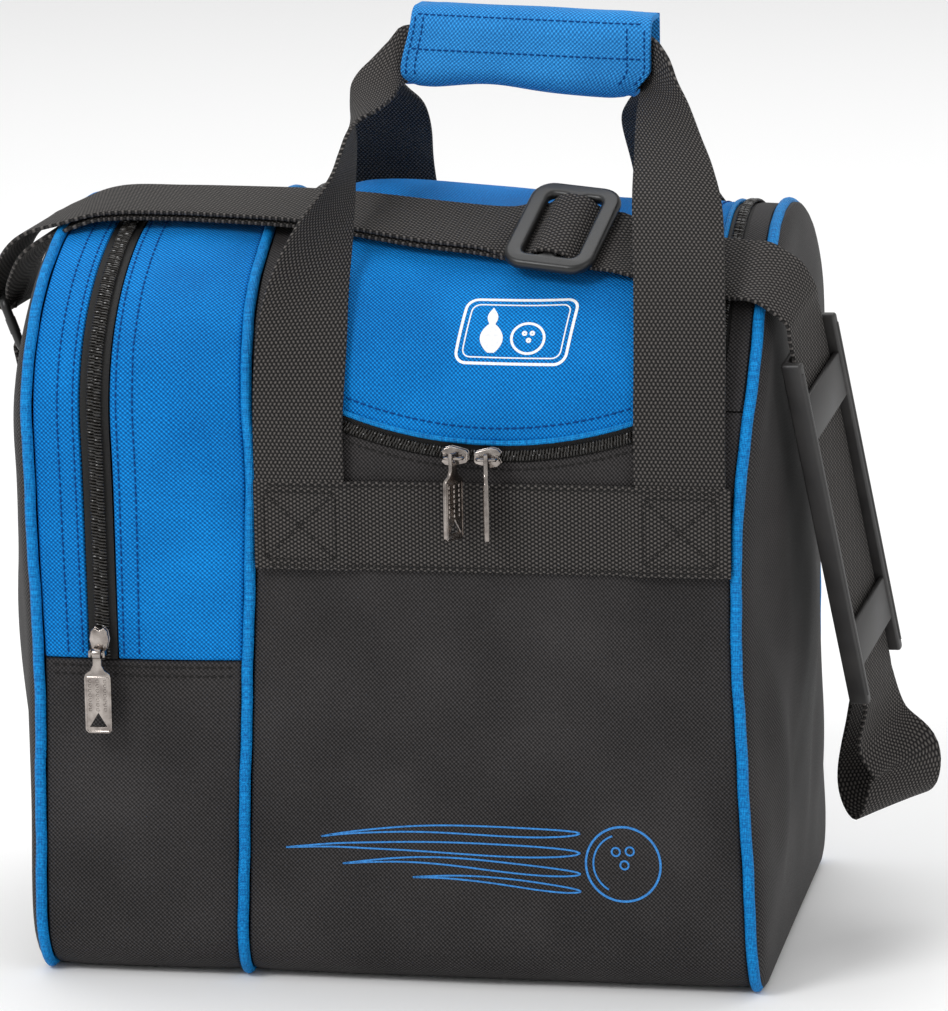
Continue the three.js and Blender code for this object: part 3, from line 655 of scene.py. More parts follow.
def profile_curve():
    """The (y, z) outline from the front edge of the base to its back edge."""
    turn = np.radians(np.linspace(0, 90, 13))
    edge = HALF_DEPTH - FLOOR_CORNER
    corner = np.column_stack([-edge - FLOOR_CORNER * np.sin(turn), FLOOR_CORNER * (1 - np.cos(turn))])
    wall_z = np.linspace(FLOOR_CORNER, SHOULDER_Z, 60)[1:-1]
    wall = np.column_stack([np.full_like(wall_z, -HALF_DEPTH), wall_z])
    over = np.radians(np.linspace(0, 180, 181))
    arch = np.column_stack([-HALF_DEPTH * np.cos(over), SHOULDER_Z + (TOP_Z - SHOULDER_Z) * np.sin(over)])
    return np.vstack([corner, wall, arch, wall[::-1] * [-1, 1], corner[::-1] * [-1, 1]])


PROFILE = profile_curve()
PROFILE_S = run_lengths(PROFILE)
TANGENT = np.gradient(PROFILE, PROFILE_S, axis=0)
PROFILE_OUT = np.column_stack([-TANGENT[:, 1], TANGENT[:, 0]])
PROFILE_OUT /= np.linalg.norm(PROFILE_OUT, axis=1)[:, None]
WHOLE_S = PROFILE_S[-1]
TOP_S = WHOLE_S / 2


def front_s(z):
    """How far up the front a height is."""
    half = PROFILE_S <= TOP_S + 0.01
    return np.interp(z, PROFILE[half, 1], PROFILE_S[half])


def back_s(z):
    """How far along the skin a height on the back is."""
    return WHOLE_S - front_s(z)


def arch_s(y):
    """Where on the arched top a depth is."""
    on_arch = PROFILE[:, 1] > SHOULDER_Z - 0.01
    return np.interp(y, PROFILE[on_arch, 0], PROFILE_S[on_arch])


def bump_at(x, s, centre_x, centre_s, wide, tall):
    """A round hill of height 1."""
    return np.exp(-(((x - centre_x) / wide) ** 2) - ((s - centre_s) / tall) ** 2)


def swell(x, s):
    """The soft big shape that all the sewn pieces share: how far the skin stands out from its flat cut."""
    low_ball = 3.0 * bump_at(x, s, BALL_MIDDLE + 12, front_s(95), 70, 55)
    low_shoe = 2.2 * bump_at(x, s, (LEFT + DIVIDE) / 2, front_s(85), 34, 60)
    high_shoe = 3.0 * bump_at(x, s, (LEFT + DIVIDE) / 2 + 14, front_s(255), 34, 55)
    ball_back = 3.5 * bump_at(x, s, BALL_MIDDLE, back_s(110), 75, 70)
    shoe_back = 3 * bump_at(x, s, -115, back_s(130), 35, 90)
    waist = -1.6 * bump_at(x, s, DIVIDE, front_s(160), 26, 90)
    crown = 8 * bump_at(x, s, BALL_MIDDLE - 60, arch_s(24), 62, 48)
    return low_ball + low_shoe + high_shoe + (ball_back + shoe_back) + waist + crown


def drift(x, s):
    """How far the seams wander sideways from straight: most at the left, a little at the right."""
    z = np.interp(s, PROFILE_S, PROFILE[:, 1])
    front = smooth((TOP_S - s) / 60)
    left = LEFT_DRIFT(z) * smooth((DIVIDE - x) / (DIVIDE - LEFT))
    between = np.minimum(smooth((x - LEFT) / (DIVIDE - LEFT)), smooth((RIGHT - x) / (RIGHT - DIVIDE)))
    right = RIGHT_DRIFT(z) * smooth((x - BALL_MIDDLE) / (RIGHT - BALL_MIDDLE))
    return front * (left + MIDDLE_DRIFT(z) * between + right)


def drift_curve(*points):
    """A smooth curve near points of (height, sideways shift)."""
    z = np.arange(-80, 420, 2.0)
    shift = np.interp(z, *zip(*points))
    for _ in range(2):
        shift = np.convolve(np.pad(shift, 8, mode="edge"), np.ones(17) / 17, mode="valid")
    return lambda at: np.interp(at, z, shift)


LEFT_DRIFT = drift_curve(
    (0, -0.5), (20, -2.5), (70, -1), (140, 1), (185, -0.5), (235, -1.2), (280, -2), (335, -1.5)
)
MIDDLE_DRIFT = drift_curve(
    (0, -1.5), (60, 0.5), (145, 4), (185, 6), (235, 8.5), (280, 5.5), (305, 3), (335, 2.5)
)
RIGHT_DRIFT = drift_curve(
    (0, 0.5), (80, -3), (165, -7), (225, -5.5), (275, 1.5), (305, 1), (335, 2)
)


def on_skin(x, s, lift=0.0):
    """Points at (x, s) on the skin, lifted off it, and the skin's outward directions."""
    x, s = np.broadcast_arrays(np.asarray(x, float), np.asarray(s, float))
    out_y = np.interp(s, PROFILE_S, PROFILE_OUT[:, 0])
    out_z = np.interp(s, PROFILE_S, PROFILE_OUT[:, 1])
    y = np.interp(s, PROFILE_S, PROFILE[:, 0])
    z = np.interp(s, PROFILE_S, PROFILE[:, 1])
    away = swell(x, s) + lift
    floor_hold = smooth(np.minimum(s, WHOLE_S - s) / 25)
    away = np.where(away > 0, away * floor_hold, away)
    points = np.stack([x + drift(x, s), y + out_y * away, np.maximum(z + out_z * away, 0.2)], axis=-1)
    return points, np.stack([np.zeros_like(y), out_y, out_z], axis=-1)


RIPPLES = [(0.045, 0.021, 0.55), (-0.03, 0.052, 0.45), (0.083, 0.067, 0.22), (0.11, -0.09, 0.13)]


def ripple(x, s, seed=0.0):
    """Small unevenness of stretched cloth, the same on every run."""
    total = 0.0
    for k, (a, b, size) in enumerate(RIPPLES):
        total = total + size * np.sin(a * x + b * s + 1.7 * k + seed)
    return total


def folds(x, s, creases):
    """Creases along lines: each is x0, s0, x1, s1, width, height (below nothing is a hollow)."""
    total = np.zeros_like(np.asarray(x, float))
    for x0, s0, x1, s1, width, height in creases:
        run = np.array([x1 - x0, s1 - s0], float)
        length = np.hypot(*run)
        run /= length
        along = ((x - x0) * run[0] + (s - s0) * run[1]) / length
        away = (x - x0) * run[1] - (s - s0) * run[0]
        ends = smooth(np.clip(along + 0.25, 0, 1) * 2) * smooth(np.clip(1.25 - along, 0, 1) * 2)
        total = total + height * ends * np.exp(-((away / width) ** 2))
    return total


TUCK_REACH = 9.0


def rolled(distance, radius=1.6, depth=1.5, tuck=0.0):
    """How far a panel drops beside its seam: a rolled edge, and a wider tuck towards the seam."""
    inside = np.clip(radius - distance, 0, radius)
    roll = radius - np.sqrt(np.maximum(radius**2 - inside**2, 0))
    return -depth / radius * roll - tuck * np.exp(-((distance / TUCK_REACH) ** 2))


def edge_distances(X, S):
    """Distances of a grid's points from its left, right, low and high edges."""
    left = np.abs(X - X[:, :1])
    right = np.abs(X - X[:, -1:])
    low = np.abs(S - S[:1, :])
    high = np.abs(S - S[-1:, :])
    return left, right, low, high


def sheet(name, parts, looks, body, uvs, nodes):
    """A piece from a closed sheet's points, faces and kinds: looks are its outer and inner ones."""
    points, faces, kinds = parts
    return build(name, points, outward(points, faces), looks, body, uvs, kinds, nodes)


def cloth_panel(name, X, S, lift, look, body, nodes):
    """A lined panel of the bag's skin, from a grid of (x, s) places and its height above the skin."""
    parts = slab_parts(on_skin(X, S, lift)[0], on_skin(X, S, -SKIN)[0])
    return sheet(name, parts, [look, "lining"], body, both_sides(X, S), nodes)


def z_of(s):
    """The height of a place on the skin."""
    return np.interp(s, PROFILE_S, PROFILE[:, 1])


# ---- the lid's outline on the skin ----


def lid_edge():
    """The right half of the lid's front edge, as (distance from the middle, height)."""
    sweep = math.asin(EDGE_REACH / EDGE_RADIUS)
    angle = np.linspace(0, sweep, 26)
    round_z = EDGE_BOTTOM + EDGE_RADIUS * (1 - np.cos(angle))
    round_part = np.column_stack([EDGE_RADIUS * np.sin(angle), round_z])
    start = round_part[-1]
    bend = np.array([LID_HALF, start[1] + (LID_HALF - start[0]) * math.tan(sweep)])
    end = np.array([LID_HALF, EDGE_TOP])
    t = np.linspace(0, 1, 13)[1:, None]
    corner = (1 - t) ** 2 * start + 2 * t * (1 - t) * bend + t**2 * end
    return np.vstack([round_part, corner])


EDGE = lid_edge()
EDGE_RUN = np.gradient(EDGE, axis=0)
EDGE_RUN /= np.linalg.norm(EDGE_RUN, axis=1)[:, None]
EDGE_RUN[0] = [1, 0]
EDGE_RUN[-1] = [0, 1]
EDGE_AWAY = np.column_stack([EDGE_RUN[:, 1], -EDGE_RUN[:, 0]])


def edge_path(offset, back_y):
    """(x, s) all round the lid's U, outside its edge by offset, from the back left to the back right."""
    moved = EDGE + EDGE_AWAY * offset
    front = np.column_stack([moved[:, 0], front_s(moved[:, 1])])
    far = np.linspace(front[-1, 1], arch_s(back_y), 60)[1:]
    right = np.vstack([front, np.column_stack([np.full_like(far, LID_HALF + offset), far])])
    left = right[1:][::-1] * [-1, 1]
    whole = np.vstack([left, right])
    whole[:, 0] += BALL_MIDDLE
    return whole


def edge_s(x, offset):
    """Where the lid's front edge, moved outwards by offset, is at x."""
    moved = EDGE + EDGE_AWAY * offset
    return front_s(np.interp(np.abs(x - BALL_MIDDLE), moved[:, 0], moved[:, 1]))


def edge_columns(half, step):
    """Columns across the ball compartment that are close together where the lid's edge turns up."""
    middle_part = np.arange(0, EDGE_REACH - 1, step)
    corner = np.linspace(EDGE_REACH, half, 15)
    right = np.concatenate([middle_part, corner])
    return BALL_MIDDLE + np.concatenate([-right[:0:-1], right])


# ---- fabric panels ----

BOTTOM_S = 2.0


def ball_front():
    """The black front below the lid: its upper edge follows the lid's outline."""
    half = (RIGHT - DIVIDE) / 2 - SEAM
    side_part = BALL_MIDDLE + half - spread(24, 2.5)[:12]
    columns = np.concatenate([edge_columns(LID_HALF + PANEL_CUT - 0.4, 3.5), side_part])
    right_half = np.unique(columns[columns > BALL_MIDDLE])
    x = np.concatenate([2 * BALL_MIDDLE - right_half[::-1], [BALL_MIDDLE], right_half])
    top = np.minimum(edge_s(x, PANEL_CUT), front_s(GUSSET_Z))
    share = spread(250, 3.2) / 250
    S = BOTTOM_S + share[:, None] * (top[None, :] - BOTTOM_S)
    X = np.broadcast_to(x, S.shape)
    left, right, low, high = edge_distances(X, S)
    sides = np.minimum(left, right)
    creases = [
        (-40, 60, 10, 130, 11, -1.3), (-20, 40, 60, 72, 10, 0.9), (150, 30, 110, 120, 12, -1.2),
        (140, 120, 90, 150, 9, 0.9), (-60, 150, -30, 190, 7, 0.9), (20, 165, 100, 150, 10, -0.8),
    ]
    inside = smooth(sides / 22) * smooth(low / 22)
    lift = (0.7 * ripple(X, S) + folds(X, S, creases)) * inside
    lift += rolled(sides, tuck=0.7) + rolled(high, 1.2, 1.0) + rolled(low, tuck=0.3)
    pressed = smooth((S - front_s(BAND_Z[0] - 14)) / 10)
    lift = lift * (1 - 0.75 * pressed * inside)
    cloth_panel("ball_front_shell", X, S, lift, "black_fabric", "root", ["ball_front_panel"])


def gusset(name, sign):
    """The narrow black strip between the lid's zip and the piping, over the top to the back seam."""
    x_out = BALL_MIDDLE + sign * ((RIGHT - DIVIDE) / 2 - SEAM)
    rows = np.linspace(front_s(GUSSET_Z) + 0.3, arch_s(BACK_SEAM), 130)
    moved = EDGE + EDGE_AWAY * PANEL_CUT
    cut = np.interp(z_of(rows), moved[:, 1], moved[:, 0])
    cut = np.where(rows > front_s(EDGE_TOP), LID_HALF + PANEL_CUT, cut)
    share = np.array([0, 0.08, 0.2, 0.35, 0.5, 0.65, 0.8, 0.92, 1.0])
    X = BALL_MIDDLE + sign * cut[:, None] + share * (x_out - (BALL_MIDDLE + sign * cut[:, None]))
    S = np.broadcast_to(rows[:, None], X.shape)
    zip_side, piped_side = edge_distances(X, S)[:2]
    lift = rolled(zip_side, 1.2, 1.0) + rolled(piped_side, tuck=0.5) + 0.25 * ripple(X, S, 2.0)
    cloth_panel(name + "_shell", X, S, lift, "black_fabric", "root", [name])


def plain_panel(
    name, node, x_range, s_range, look, creases=(), *, seed, step=3.2, piped=(True, True), size=1.0
):
    """A four-sided panel: piped says which sides are sewn to a piping rather than folded at a zip."""
    x = x_range[0] + spread(x_range[1] - x_range[0], step)
    s = s_range[0] + spread(s_range[1] - s_range[0], step)
    X, S = np.meshgrid(x, s)
    left, right, low, high = edge_distances(X, S)
    inside = smooth(np.minimum(left, right) / 18) * smooth(np.minimum(low, high) / 20)
    lift = (0.7 * size * ripple(X, S, seed) + folds(X, S, creases)) * inside
    for distance, sewn in ((left, piped[0]), (right, piped[1])):
        lift += rolled(distance, tuck=0.7 if sewn else 0.0)
        if not sewn:
            for line in (3.2, 8.6):
                lift -= 0.35 * np.exp(-(((distance - line) / 1.1) ** 2))
    lift += rolled(low, tuck=0.3) + rolled(high, 1.2, 0.9)
    cloth_panel(name, X, S, lift, look, "root", [node])


def shoe_side():
    """The shoe compartment's front, its blue strips over the top, and both compartments' backs."""
    seam_s = arch_s(BACK_SEAM)
    split = front_s(SPLIT_Z)
    across = (LEFT + SEAM, DIVIDE - SEAM)
    strip = (split + 0.3, seam_s)
    behind = (seam_s + 0.4, WHOLE_S - BOTTOM_S)
    plain_panel("shoe_front_shell", "shoe_front_lower", across, (BOTTOM_S, split), "black_fabric", [
        (-140, 120, -95, 150, 9, 1.0), (-85, 20, -100, 110, 10, -1.0), (-150, 60, -120, 20, 9, 0.8),
    ], seed=3.0)
    plain_panel("shoe_outer_shell", "shoe_outer_strip", (across[0], SHOE_ZIP_X - SHOE_ZIP_HALF), strip,
                "blue_fabric", piped=(True, False), seed=1.0, step=2.4, size=0.6)
    plain_panel("shoe_inner_shell", "shoe_inner_strip", (SHOE_ZIP_X + SHOE_ZIP_HALF, across[1]), strip,
                "blue_fabric", [
        (-118, 300, -74, 262, 7, 2.3), (-112, 285, -72, 245, 6, -2.2), (-105, 255, -72, 228, 6, 1.6),
        (-120, 215, -80, 196, 8, -0.7), (-78, 330, -112, 350, 8, -1.0),
    ], piped=(False, True), seed=5.0, step=2.4)
    plain_panel("shoe_back_shell", "shoe_back_panel", across, behind, "black_fabric", [
        (-150, 620, -90, 560, 10, 1.2), (-80, 640, -130, 700, 9, -1.0),
    ], seed=4.0)
    beyond = (DIVIDE + SEAM, RIGHT - SEAM)
    plain_panel("ball_back_shell", "ball_back_panel", beyond, behind, "black_fabric", [
        (-40, 640, 30, 600, 12, -1.4), (140, 660, 90, 600, 12, 1.3), (10, 690, 100, 680, 11, 1.0),
    ], seed=6.0)


def lid():
    """The blue lid: one sheet from its U-shaped front edge over the top, bending at the hinge seam."""
    x = edge_columns(LID_HALF, 3.2)
    near = BALL_MIDDLE + (LID_HALF - np.array([0.5, 1.4])) * np.array([[-1], [1]])
    x = np.unique(np.concatenate([x, near.ravel()]))
    start = edge_s(x, 0.0)
    end = arch_s(HINGE_Y - 0.8)
    share = spread(230, 3.2) / 230
    S = start[None, :] + share[:, None] * (end - start[None, :])
    X = np.broadcast_to(x, S.shape)
    outline = edge_path(0.0, HINGE_Y)
    distance = np.min(np.hypot(X[..., None] - outline[::2, 0], S[..., None] - outline[::2, 1]), axis=-1)
    back = np.abs(S - S[-1:, :])
    creases = [
        (-5, 268, 24, 288, 9, -2.2), (14, 256, 50, 268, 10, 1.6), (62, 280, 104, 268, 9, -2.4),
        (84, 296, 118, 280, 8, 1.9), (-34, 300, -10, 330, 10, -1.3), (70, 318, 118, 345, 12, 1.2),
        (-30, 380, 60, 400, 16, 1.6), (40, 420, 110, 400, 14, -1.4),
    ]
    inside = smooth(distance / 16) * smooth(back / 16)
    lift = (0.8 * ripple(X, S, 8.0) + folds(X, S, creases)) * inside
    lift += rolled(distance, 1.4, 1.2) + 1.1 * smooth(distance / 14) - 0.3
    lift -= 0.4 * np.exp(-(((distance - 5.5) / 1.2) ** 2))
    lift -= 0.9 * (1 - smooth(back / 12))
    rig.blend(cloth_panel("lid_shell", X, S, lift, "blue_fabric", None, ["lid_panel"]), *hinge_blend())


def hinge_blend():
    """The sheet turns with the lid up to a few millimetres short of the hinge."""
    start, _ = on_skin(BALL_MIDDLE, arch_s(HINGE_Y - 9))
    end, _ = on_skin(BALL_MIDDLE, arch_s(HINGE_Y - 0.5))
    return "lid", "root", tuple(start * MM), tuple(end * MM)


PANEL_CENTRE_Z = 160
DIVIDER_SCALE = 0.968


def end_panel(name, node, sign, bulge, creases, seed):
    """A side of the bag: a soft dome inside the piping's loop."""
    s = np.linspace(0, WHOLE_S, 230)
    floor = np.linspace(HALF_DEPTH - FLOOR_CORNER, -(HALF_DEPTH - FLOOR_CORNER), 40)[1:-1]
    rim_y = np.concatenate([np.interp(s, PROFILE_S, PROFILE[:, 0]), floor])
    rim_z = np.concatenate([np.interp(s, PROFILE_S, PROFILE[:, 1]), np.zeros_like(floor)])
    reach = np.hypot(rim_y, rim_z - PANEL_CENTRE_Z)
    inward = np.concatenate([[0, 0.6, 1.6, 3.2, 5.5, 8.5, 12], np.linspace(17, 0.94 * reach.min(), 26)])
    scale = 1 - inward[:, None] / reach.min()
    Y = rim_y[None, :] * scale
    Z = PANEL_CENTRE_Z + (rim_z - PANEL_CENTRE_Z)[None, :] * scale
    depth = inward[:, None] * reach[None, :] / reach.min()
    fuller = 0.5 + 0.5 * smooth((Z - 20) / 130)
    dome = bulge * fuller * (1 - scale**2) + 2.8 * (1 - np.exp(-depth / 3.0))
    low = smooth(Z / 60)
    waves = (1.1 * ripple(Y * 1.1, Z, seed) + folds(Y, Z, creases)) * smooth(depth / 24) * low
    rim_drift = LEFT_DRIFT(rim_z) if sign < 0 else RIGHT_DRIFT(rim_z)
    lean = rim_drift[None, :] * smooth(1 - depth / 60)
    tuck = 0.6 * np.exp(-((depth / 8) ** 2))
    X = (LEFT if sign < 0 else RIGHT) + sign * (SEAM + dome + waves - tuck) + lean
    outer = np.stack([X, Y, Z], axis=-1)
    inner = outer - np.array([sign * SKIN, 0, 0])
    parts = ringed_parts(outer, inner)
    sheet(name, parts, ["black_fabric", "lining"], "root", both_sides(Y, Z), [node])


def base():
    """The flat bottom, rolled up a little at its edges."""
    x = LEFT + SEAM + spread(RIGHT - LEFT - 2 * SEAM, 8)
    edge = HALF_DEPTH - FLOOR_CORNER + 1.4
    y = -edge + spread(2 * edge, 8)
    X, Y = np.meshgrid(x, y)
    from_edge = np.minimum.reduce(edge_distances(X, Y))
    drop = rolled(from_edge, 1.2, 1.0)
    flat = 0.25 * ripple(X, Y) * smooth(from_edge / 20)
    outer = np.stack([X, Y, 0.25 - drop * 0.4 + np.maximum(flat, 0)], axis=-1)
    inner = np.stack([X, Y, np.full_like(X, 2.9)], axis=-1)
    parts = slab_parts(outer, inner)
    sheet("bottom_shell", parts, ["black_fabric", "lining"], "root", both_sides(X, Y), ["bottom_panel"])


def divider():
    """The wall between the compartments: a lined sheet cut to the bag's profile."""
    around = np.linspace(6, WHOLE_S - 6, 150)
    rim_y = np.interp(around, PROFILE_S, PROFILE[:, 0]) * DIVIDER_SCALE
    rim_z = PANEL_CENTRE_Z + (z_of(around) - PANEL_CENTRE_Z) * DIVIDER_SCALE
    scale = np.array([1, 0.99, 0.97, 0.93, 0.85, 0.7, 0.5, 0.3, 0.1])[:, None]
    Y = rim_y * scale
    Z = PANEL_CENTRE_Z + (rim_z - PANEL_CENTRE_Z) * scale
    X = DIVIDE + 0.8 * ripple(Y, Z, 1.0) * (1 - scale**6)
    outer = np.stack([X + 0.9, Y, Z], axis=-1)
    inner = np.stack([X - 0.9, Y, Z], axis=-1)
    points, faces, _ = ringed_parts(outer, inner)
    faces = outward(points, faces)
    build("divider_shell", points, faces, "lining", "root", both_sides(Y, Z), nodes=["divider_panel"])


# ---- tubes: piping, welts, coils and threads ----


def tube_parts(path, radius, sides, closed):
    """Points, faces and weave map of a round tube along a path."""
    path = np.asarray(path, float)
    count = len(path)
    if closed:
        run = np.roll(path, -1, axis=0) - np.roll(path, 1, axis=0)
    else:
        run = np.gradient(path, axis=0)
    run /= np.maximum(np.linalg.norm(run, axis=1), 1e-9)[:, None]
    upward = np.zeros_like(path)
    guess = np.array([1.0, 0, 0]) if abs(run[0, 0]) < 0.8 else np.array([0, 0, 1.0])
    for i in range(count):
        guess = guess - run[i] * np.dot(guess, run[i])
        guess = guess / np.linalg.norm(guess)
        upward[i] = guess
    sideways = np.cross(run, upward)
    angle = np.arange(sides) * 2 * math.pi / sides
    rise = upward[:, None, :] * np.sin(angle)[None, :, None]
    reach = sideways[:, None, :] * np.cos(angle)[None, :, None]
    ring = path[:, None, :] + (rise + reach) * radius
    faces = grid_faces(count, sides, wrap_rows=closed, wrap_columns=True)
    if not closed:
        faces.append(tuple(reversed(range(sides))))
        faces.append(tuple((count - 1) * sides + j for j in range(sides)))
    u = np.broadcast_to(np.abs(angle - math.pi) * radius, (count, sides))
    v = np.broadcast_to(run_lengths(path)[:, None], (count, sides))
    return ring.reshape(-1, 3), faces, np.stack([u, v], axis=-1).reshape(-1, 2)


def tubes(name, paths, radius, look, body, nodes=(), *, sides, closed=False):
    """One piece made of tubes along several paths."""
    points, faces, uvs, start = [], [], [], 0
    for path in paths:
        p, f, uv = tube_parts(path, radius, sides, closed)
        points.append(p)
        faces += shifted(outward(p, f), start)
        uvs.append(uv)
        start += len(p)
    whole = np.concatenate(points)
    return build(name, whole, faces, look, body, np.concatenate(uvs), nodes=nodes, sharp=60)


def piping(name, node, x, whole):
    """A piping over the bag at x; a whole one also runs back under the floor's edge."""
    s = np.linspace(0.5, WHOLE_S - 0.5, 420)
    path, _ = on_skin(x, s, PIPING_LIFT)
    path[:, 2] = np.maximum(path[:, 2], PIPING_RADIUS)
    path[:, 0] += 0.15 * np.sin(s * 0.11) + 0.08 * np.sin(s * 0.27 + 1)
    if whole:
        floor_y = np.linspace(path[-1, 1], path[0, 1], 60)[1:-1]
        floor = np.column_stack([np.full_like(floor_y, x), floor_y, np.full_like(floor_y, PIPING_RADIUS)])
        path = np.vstack([path, floor])
    tubes(name, [path], PIPING_RADIUS, "blue_piping", "root", [node], sides=14, closed=whole)


def lid_welt():
    """The blue cord sewn into the lid's edge."""
    at = edge_path(0.9, HINGE_Y - 2)
    path, _ = on_skin(at[:, 0], at[:, 1], 0.1)
    path, _ = evenly(path, 2.2)
    tubes("lid_welt", [path], 1.25, "blue_piping", "lid", ["lid_piping"], sides=10)


def hinge_binding():
    """The black binding over the seam between the lid and the back."""
    half = LID_HALF + 6.3
    x = np.linspace(BALL_MIDDLE - half, BALL_MIDDLE + half, 90)
    path, _ = on_skin(x, arch_s(HINGE_Y), 0.2)
    path[:, 1] += 0.1 * np.sin(x * 0.3)
    tubes("hinge_binding", [path], 1.35, "zip_tape", "root", ["hinge_welt"], sides=10)


def skin_frames(x, s, lift, step):
    """Even stations along a route on the skin: points, outward, and sideways directions."""
    path, out = on_skin(x, s, lift)
    both, _ = evenly(np.column_stack([path, out]), step)
    points, out = both[:, :3], both[:, 3:]
    out = out / np.linalg.norm(out, axis=1)[:, None]
    run = np.gradient(points, axis=0)
    run /= np.linalg.norm(run, axis=1)[:, None]
    across = np.cross(run, out)
    return points, out, across / np.linalg.norm(across, axis=1)[:, None]


def coil(x, s, reach, sign, phase):
    """One side of a nylon zip: a wire wound along the tape, its loops meeting the other side's."""
    points, out, across = skin_frames(x, s, 0.55, COIL_PITCH / COIL_STEPS)
    turn = 2 * math.pi * np.arange(len(points)) / COIL_STEPS + phase
    wide = reach / 2
    loop_middle = points + across * sign * (wide - 0.35)
    return loop_middle + across * (wide * np.cos(turn))[:, None] + out * (0.62 * np.sin(turn))[:, None]


def zip_tape(name, x, s, sign, width, body, node, coil_reach=3.4, phase=0.0):
    """A zip's half: its tape beside the coil, and the coil."""
    points, out, across = skin_frames(x, s, -0.75, 2.2)
    steps = np.array([-0.3, 0.4, 1.8, 3.2, 4.2, 4.9]) / 4.9 * width
    crown = np.array([-0.35, -0.25, 0.0, 0.1, 0.25, 0.0])
    middle_line = points[:, None, :] + across[:, None, :] * (sign * steps)[None, :, None]
    outer = middle_line + out[:, None, :] * crown[None, :, None]
    inner = outer - out[:, None, :] * TAPE_THICK
    tape, faces, _ = slab_parts(outer, inner)
    grid = both_sides(*np.broadcast_arrays(steps[None, :], run_lengths(points)[:, None]))
    build(name + "_tape", tape, outward(tape, faces), "zip_tape", body, grid, nodes=[node])
    tubes(name + "_coil", [coil(x, s, coil_reach, sign, phase)], 0.42, "coil", body, sides=5)


def zips():
    """Both zips, in halves: the shoe zip's are sewn down, and one of the lid's lifts with it."""
    s = np.linspace(front_s(SPLIT_Z) + 0.5, arch_s(BACK_SEAM), 260)
    x = np.full_like(s, SHOE_ZIP_X)
    zip_tape("shoe_zip_left", x, s, -1, 6.4, "root", "shoe_zip_left_half")
    zip_tape("shoe_zip_right", x, s, 1, 6.4, "root", "shoe_zip_right_half", phase=math.pi)
    x, s = edge_path(ZIP_MIDDLE, HINGE_Y - 2).T
    zip_tape("lid_zip", x, s, -1, 5.2, "lid", "lid_zip_half", coil_reach=2.6)
    zip_tape("body_zip", x, s, 1, 4.6, "root", "body_zip_half", coil_reach=2.6, phase=math.pi)


# ---- stitches and prints, laid on a piece that is already made ----


DROP = 0.012


def laid_on(piece, points, out):
    """The points dropped onto a piece's outer surface along their outward directions."""
    tree = BVHTree.FromObject(piece, bpy.context.evaluated_depsgraph_get())
    laid = []
    for point, direction in zip(points, out):
        d = Vector(direction)
        start = Vector(point) * MM + d * DROP
        hit = tree.ray_cast(start, -d, 2 * DROP)[0]
        laid.append(np.array(hit if hit is not None else Vector(point) * MM) / MM)
    return np.array(laid)


def skin_route(x, s):
    """A route on the skin for stitches: its points and outward directions."""
    return skin_frames(x, s, 0.0, 0.5)[:2]


def stitches(name, target, routes, look, body, length=2.5, gap=0.9, radius=0.36):
    """Lock stitches along routes of points and outward directions: short threads that dip at both ends."""
    bend = np.array([-0.4, 0.08, 0.24, 0.3, 0.24, 0.08, -0.4])
    paths = []
    for points, out in routes:
        both, at = evenly(np.column_stack([points, out]), 0.5)
        points = laid_on(target, both[:, :3], both[:, 3:])
        out = both[:, 3:]
        start = gap
        while start + length < at[-1]:
            where = np.linspace(start, start + length, len(bend))
            middle_line = np.column_stack([np.interp(where, at, points[:, k]) for k in range(3)])
            upward = np.column_stack([np.interp(where, at, out[:, k]) for k in range(3)])
            paths.append(middle_line + upward * bend[:, None])
            start += length + gap
    tubes(name, paths, radius, look, body, sides=6)


def straight(route, out):
    """A route whose outward direction is the same all along."""
    return route, np.broadcast_to(np.array(out, float), route.shape)


def crossed_box(half, low, high):
    """The lines of a sewn box with a cross in it, as (across, height) places."""
    corners = [(-half, low), (half, low), (half, high), (-half, high)]
    t = np.linspace(0, 1, 24)[:, None]
    for a, b in ((0, 1), (3, 2), (0, 3), (1, 2), (0, 2), (3, 1)):
        start, end = np.array(corners[a], float), np.array(corners[b], float)
        yield start + t * (end - start)


def topstitching():
    """The rows of stitching beside the zips, the split and the back seam."""
    split = front_s(SPLIT_Z)
    seam_s = arch_s(BACK_SEAM) - 1
    s = np.linspace(split + 2, seam_s, 160)
    for name, sign in (("shoe_outer", -1), ("shoe_inner", 1)):
        columns = [SHOE_ZIP_X + sign * (SHOE_ZIP_HALF + line) for line in (2.6, 9.2)]
        lines = [skin_route(np.full_like(s, x), s) for x in columns]
        stitches(name + "_stitches", PIECES[name + "_shell"], lines, "blue_thread", "root")
    x = np.linspace(LEFT + 6, DIVIDE - 5, 60)
    lines = [skin_route(x, np.full_like(x, split - line)) for line in (2.6, 6.6)]
    stitches("shoe_split_stitches", PIECES["shoe_front_shell"], lines, "black_thread", "root")
    line = skin_route(*edge_path(-5.5, HINGE_Y - 12).T)
    stitches("lid_edge_stitches", PIECES["lid_shell"], [line], "blue_thread", "lid")
    edge = edge_path(PANEL_CUT + 3.2, BACK_SEAM - 3)
    low = edge[(z_of(edge[:, 1]) < GUSSET_Z - 3) & (edge[:, 1] < TOP_S)]
    stitches("zip_edge_stitches", PIECES["ball_front_shell"], [skin_route(*low.T)], "black_thread", "root")
    for name, x0, x1 in (("ball_back", DIVIDE + 6, RIGHT - 6), ("shoe_back", LEFT + 6, DIVIDE - 6)):
        x = np.linspace(x0, x1, 80)
        line = skin_route(x, np.full_like(x, arch_s(BACK_SEAM) + 3.6))
        stitches(name + "_stitches", PIECES[name + "_shell"], [line], "black_thread", "root")


INK_HEIGHT = 0.22


